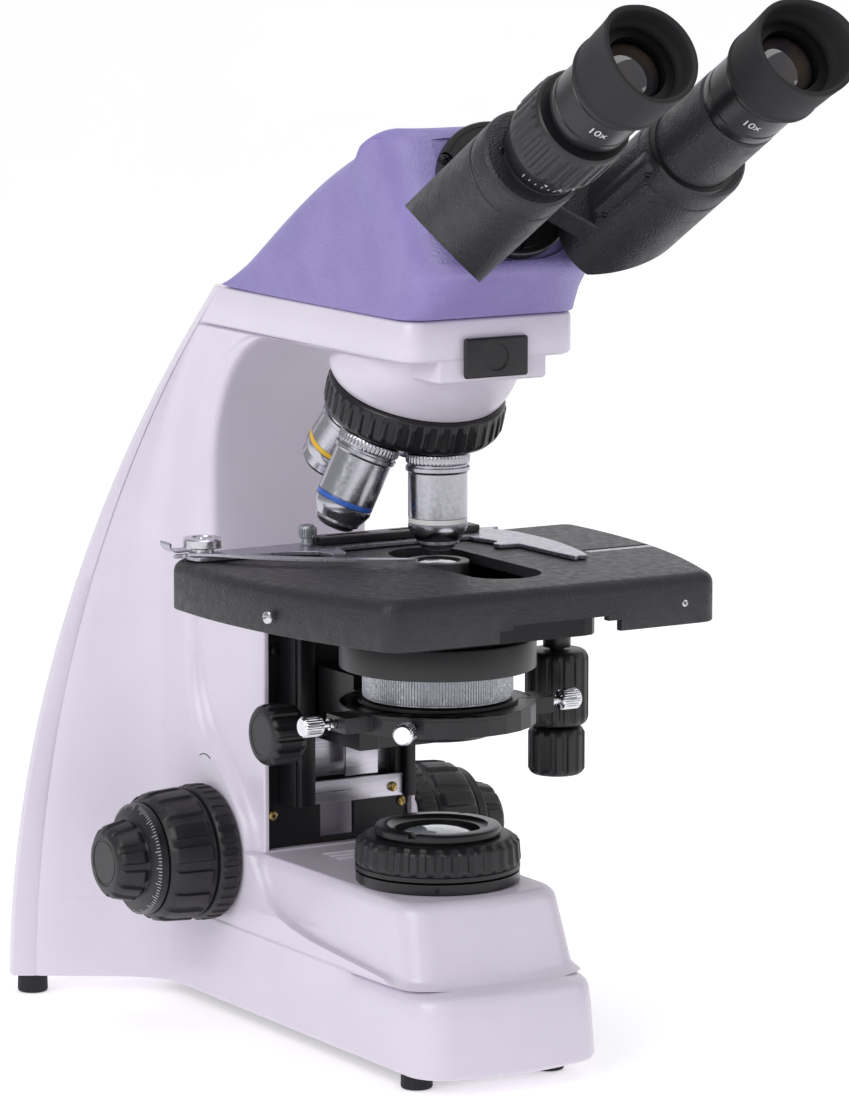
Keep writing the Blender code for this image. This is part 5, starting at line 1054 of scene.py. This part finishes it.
finish_piece(moved(ticks, left_tube), "dioptre_scale", white_ink, "diopter", "black_plastic")

for i, word in enumerate(("4", "2", "0", "2", "4")):
    a = math.radians(-118 + 18 * i)
    place = left_tube @ Matrix.Rotation(a, 4, "Z") @ Matrix.Translation((0, 0, 0.0905))
    printed(f"dioptre_number_{i + 1}", word, 0.0028, place, 0.0190, "diopter")

# ---- Eyepieces ---------------------------------------------------------------------------------
# Anodised aluminium eyepieces slide into the tubes. Each ends in a coated eye lens and a soft
# rubber cup whose rim rises on the outer side to keep out stray light.
amber, amber_shader, amber_place = start_material("amber_coated_eye_lens", "3A3230", 0.04,
                                                  **{"Coat Weight": 1.0, "Coat Roughness": 0.02,
                                                     "Specular IOR Level": 0.9})
mottle(amber, amber_shader, amber_place, 0.012, "4A3D33", "2A2730", "Base Color")
for side, sign in (("left", -1), ("right", 1)):
    body = f"ocular_{side}"
    tube_at = binocular @ Matrix.Translation((sign * 0.0340, -0.0235, 0))
    skin = [(0.0098, 0.0880), (0.0116, 0.0880), (0.0116, 0.1183), (0.0160, 0.1183), (0.0167, 0.1187),
            (0.0170, 0.1193), (0.0170, 0.1232), (0.0166, 0.1236), (0.0166, 0.1243), (0.0170, 0.1247),
            (0.0170, 0.1370), (0.0166, 0.1374), (0.0166, 0.1381), (0.0170, 0.1385), (0.0170, 0.1550),
            (0.0125, 0.1550), (0.0125, 0.1460), (0.0098, 0.1460), (0.0098, 0.0880)]
    finish_piece(moved(turned(skin, 128), tube_at), f"eyepiece_{side}_barrel", anodised, body, "black_paint",
                 f"eyepiece_{side}", smooth=30)
    lens = [(0.0122 * math.cos(math.radians(a)), 0.1500 + 0.0036 * math.sin(math.radians(a)))
            for a in range(0, 90, 9)]
    finish_piece(moved(turned([(0, 0.1463), (0.0122, 0.1463)] + lens + [(0, 0.1536)]), tube_at),
                 f"eyepiece_{side}_lens", amber, body, "glass", f"eye_lens_{side}")
    skin = [(0.0173, 0.1420), (0.0192, 0.1420), (0.0198, 0.1426), (0.0198, 0.1440), (0.0194, 0.1446)]
    skin += between([(0.0194, 0.1450), (0.0198, 0.1540), (0.0202, 0.1670)], 0.0013)
    skin += [(0.0199, 0.1677), (0.0192, 0.1680), (0.0184, 0.1676)]
    skin += between([(0.0180, 0.1668), (0.0172, 0.1600), (0.0160, 0.1570)], 0.0013) + [(0.0160, 0.1553),
                                                                                        (0.0173, 0.1553), (0.0173, 0.1420)]
    cup = turned(skin, 144)
    for vert in cup.verts:
        outer = max(0.0, vert.co.x * sign / 0.0200)
        rise = max(0.0, (vert.co.z - 0.1560) / 0.0120)
        vert.co.z += (0.0052 * outer ** 1.6 - 0.0016) * rise
        vert.co.xy *= 1 + 0.05 * outer * rise * rise
    finish_piece(moved(cup, tube_at), f"eyecup_{side}_rubber", rubber, body, "rubber", f"eyecup_{side}",
                 smooth=50)
    printed(f"eyepiece_{side}_mark", "10x", 0.0052, tube_at @ Matrix.Rotation(math.radians(-118), 4, "Z")
            @ Matrix.Translation((0, 0, 0.1310)), 0.01702, body)

# ---- Setting -----------------------------------------------------------------------------------
# A pale seamless floor that curves up behind the microscope, with two large soft lamps and a fill.
floor_material, floor_shader, floor_place = start_material("pale_paper_backdrop", "F4F3F5", 0.9, **{"Emission Color": linear("FFFFFF"),
                                                            "Emission Strength": 0.42})
mottle(floor_material, floor_shader, floor_place, 0.5, "F1F0F2", "F7F6F8", "Base Color")
sweep = bmesh.new()
sweep_points = [sweep.verts.new((-4, -4, -0.0002))]
sweep_points.append(sweep.verts.new((-4, 2.2, -0.0002)))
for i in range(1, 13):
    a = math.radians(90 * i / 12)
    sweep_points.append(sweep.verts.new((-4, 2.2 + 1.2 * math.sin(a), 1.2 - 1.2 * math.cos(a))))
sweep_points.append(sweep.verts.new((-4, 3.4, 4)))
sweep_edges = [sweep.edges.new(pair) for pair in zip(sweep_points, sweep_points[1:])]
side = bmesh.ops.extrude_edge_only(sweep, edges=sweep_edges)["geom"]
bmesh.ops.translate(sweep, vec=(8, 0, 0), verts=[v for v in side if isinstance(v, bmesh.types.BMVert)])
bmesh.ops.recalc_face_normals(sweep, faces=sweep.faces)
bmesh.ops.reverse_faces(sweep, faces=sweep.faces) if sum(f.normal.z for f in sweep.faces) < 0 else None
sweep_mesh = bpy.data.meshes.new("floor_sweep")
sweep.to_mesh(sweep_mesh)
sweep.free()
sweep_mesh.shade_smooth()
sweep_mesh.materials.append(floor_material)
floor = bpy.data.objects.new("floor_sweep", sweep_mesh)
bpy.context.scene.collection.objects.link(floor)
floor.rotation_euler.z = math.radians(-30.7)
floor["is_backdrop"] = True

world = bpy.data.worlds.new("studio")
bpy.context.scene.world = world
world.use_nodes = True
world.node_tree.nodes["Background"].inputs["Color"].default_value = linear("F6F6FA")
world.node_tree.nodes["Background"].inputs["Strength"].default_value = 0.46
for name, at, size, power in (("lamp_left", (-1.35, -0.55, 1.05), 1.0, 12),
                              ("lamp_top", (0.10, -0.25, 1.70), 1.3, 8),
                              ("lamp_right", (1.40, -1.20, 0.70), 0.8, 2.5)):
    light = bpy.data.lights.new(name, "AREA")
    light.shape, light.size, light.energy = "SQUARE", size, power
    lamp = bpy.data.objects.new(name, light)
    bpy.context.scene.collection.objects.link(lamp)
    lamp.location = at
    lamp.rotation_euler = (Vector((0, 0, 0.2)) - Vector(at)).to_track_quat("-Z", "Y").to_euler()
bpy.context.scene.view_settings.view_transform = "Standard"

camera_data = bpy.data.cameras.new("camera")
camera_data.lens, camera_data.sensor_width = 189.8, 36
camera_data.clip_end = 50
camera = bpy.data.objects.new("camera", camera_data)
bpy.context.scene.collection.objects.link(camera)
camera.location = (-1.1828, -1.9816 + optical_y, 0.5698)
camera.rotation_euler = (math.radians(90 - 8.85), 0, math.radians(-30.7))
bpy.context.scene.camera = camera

low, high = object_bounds()
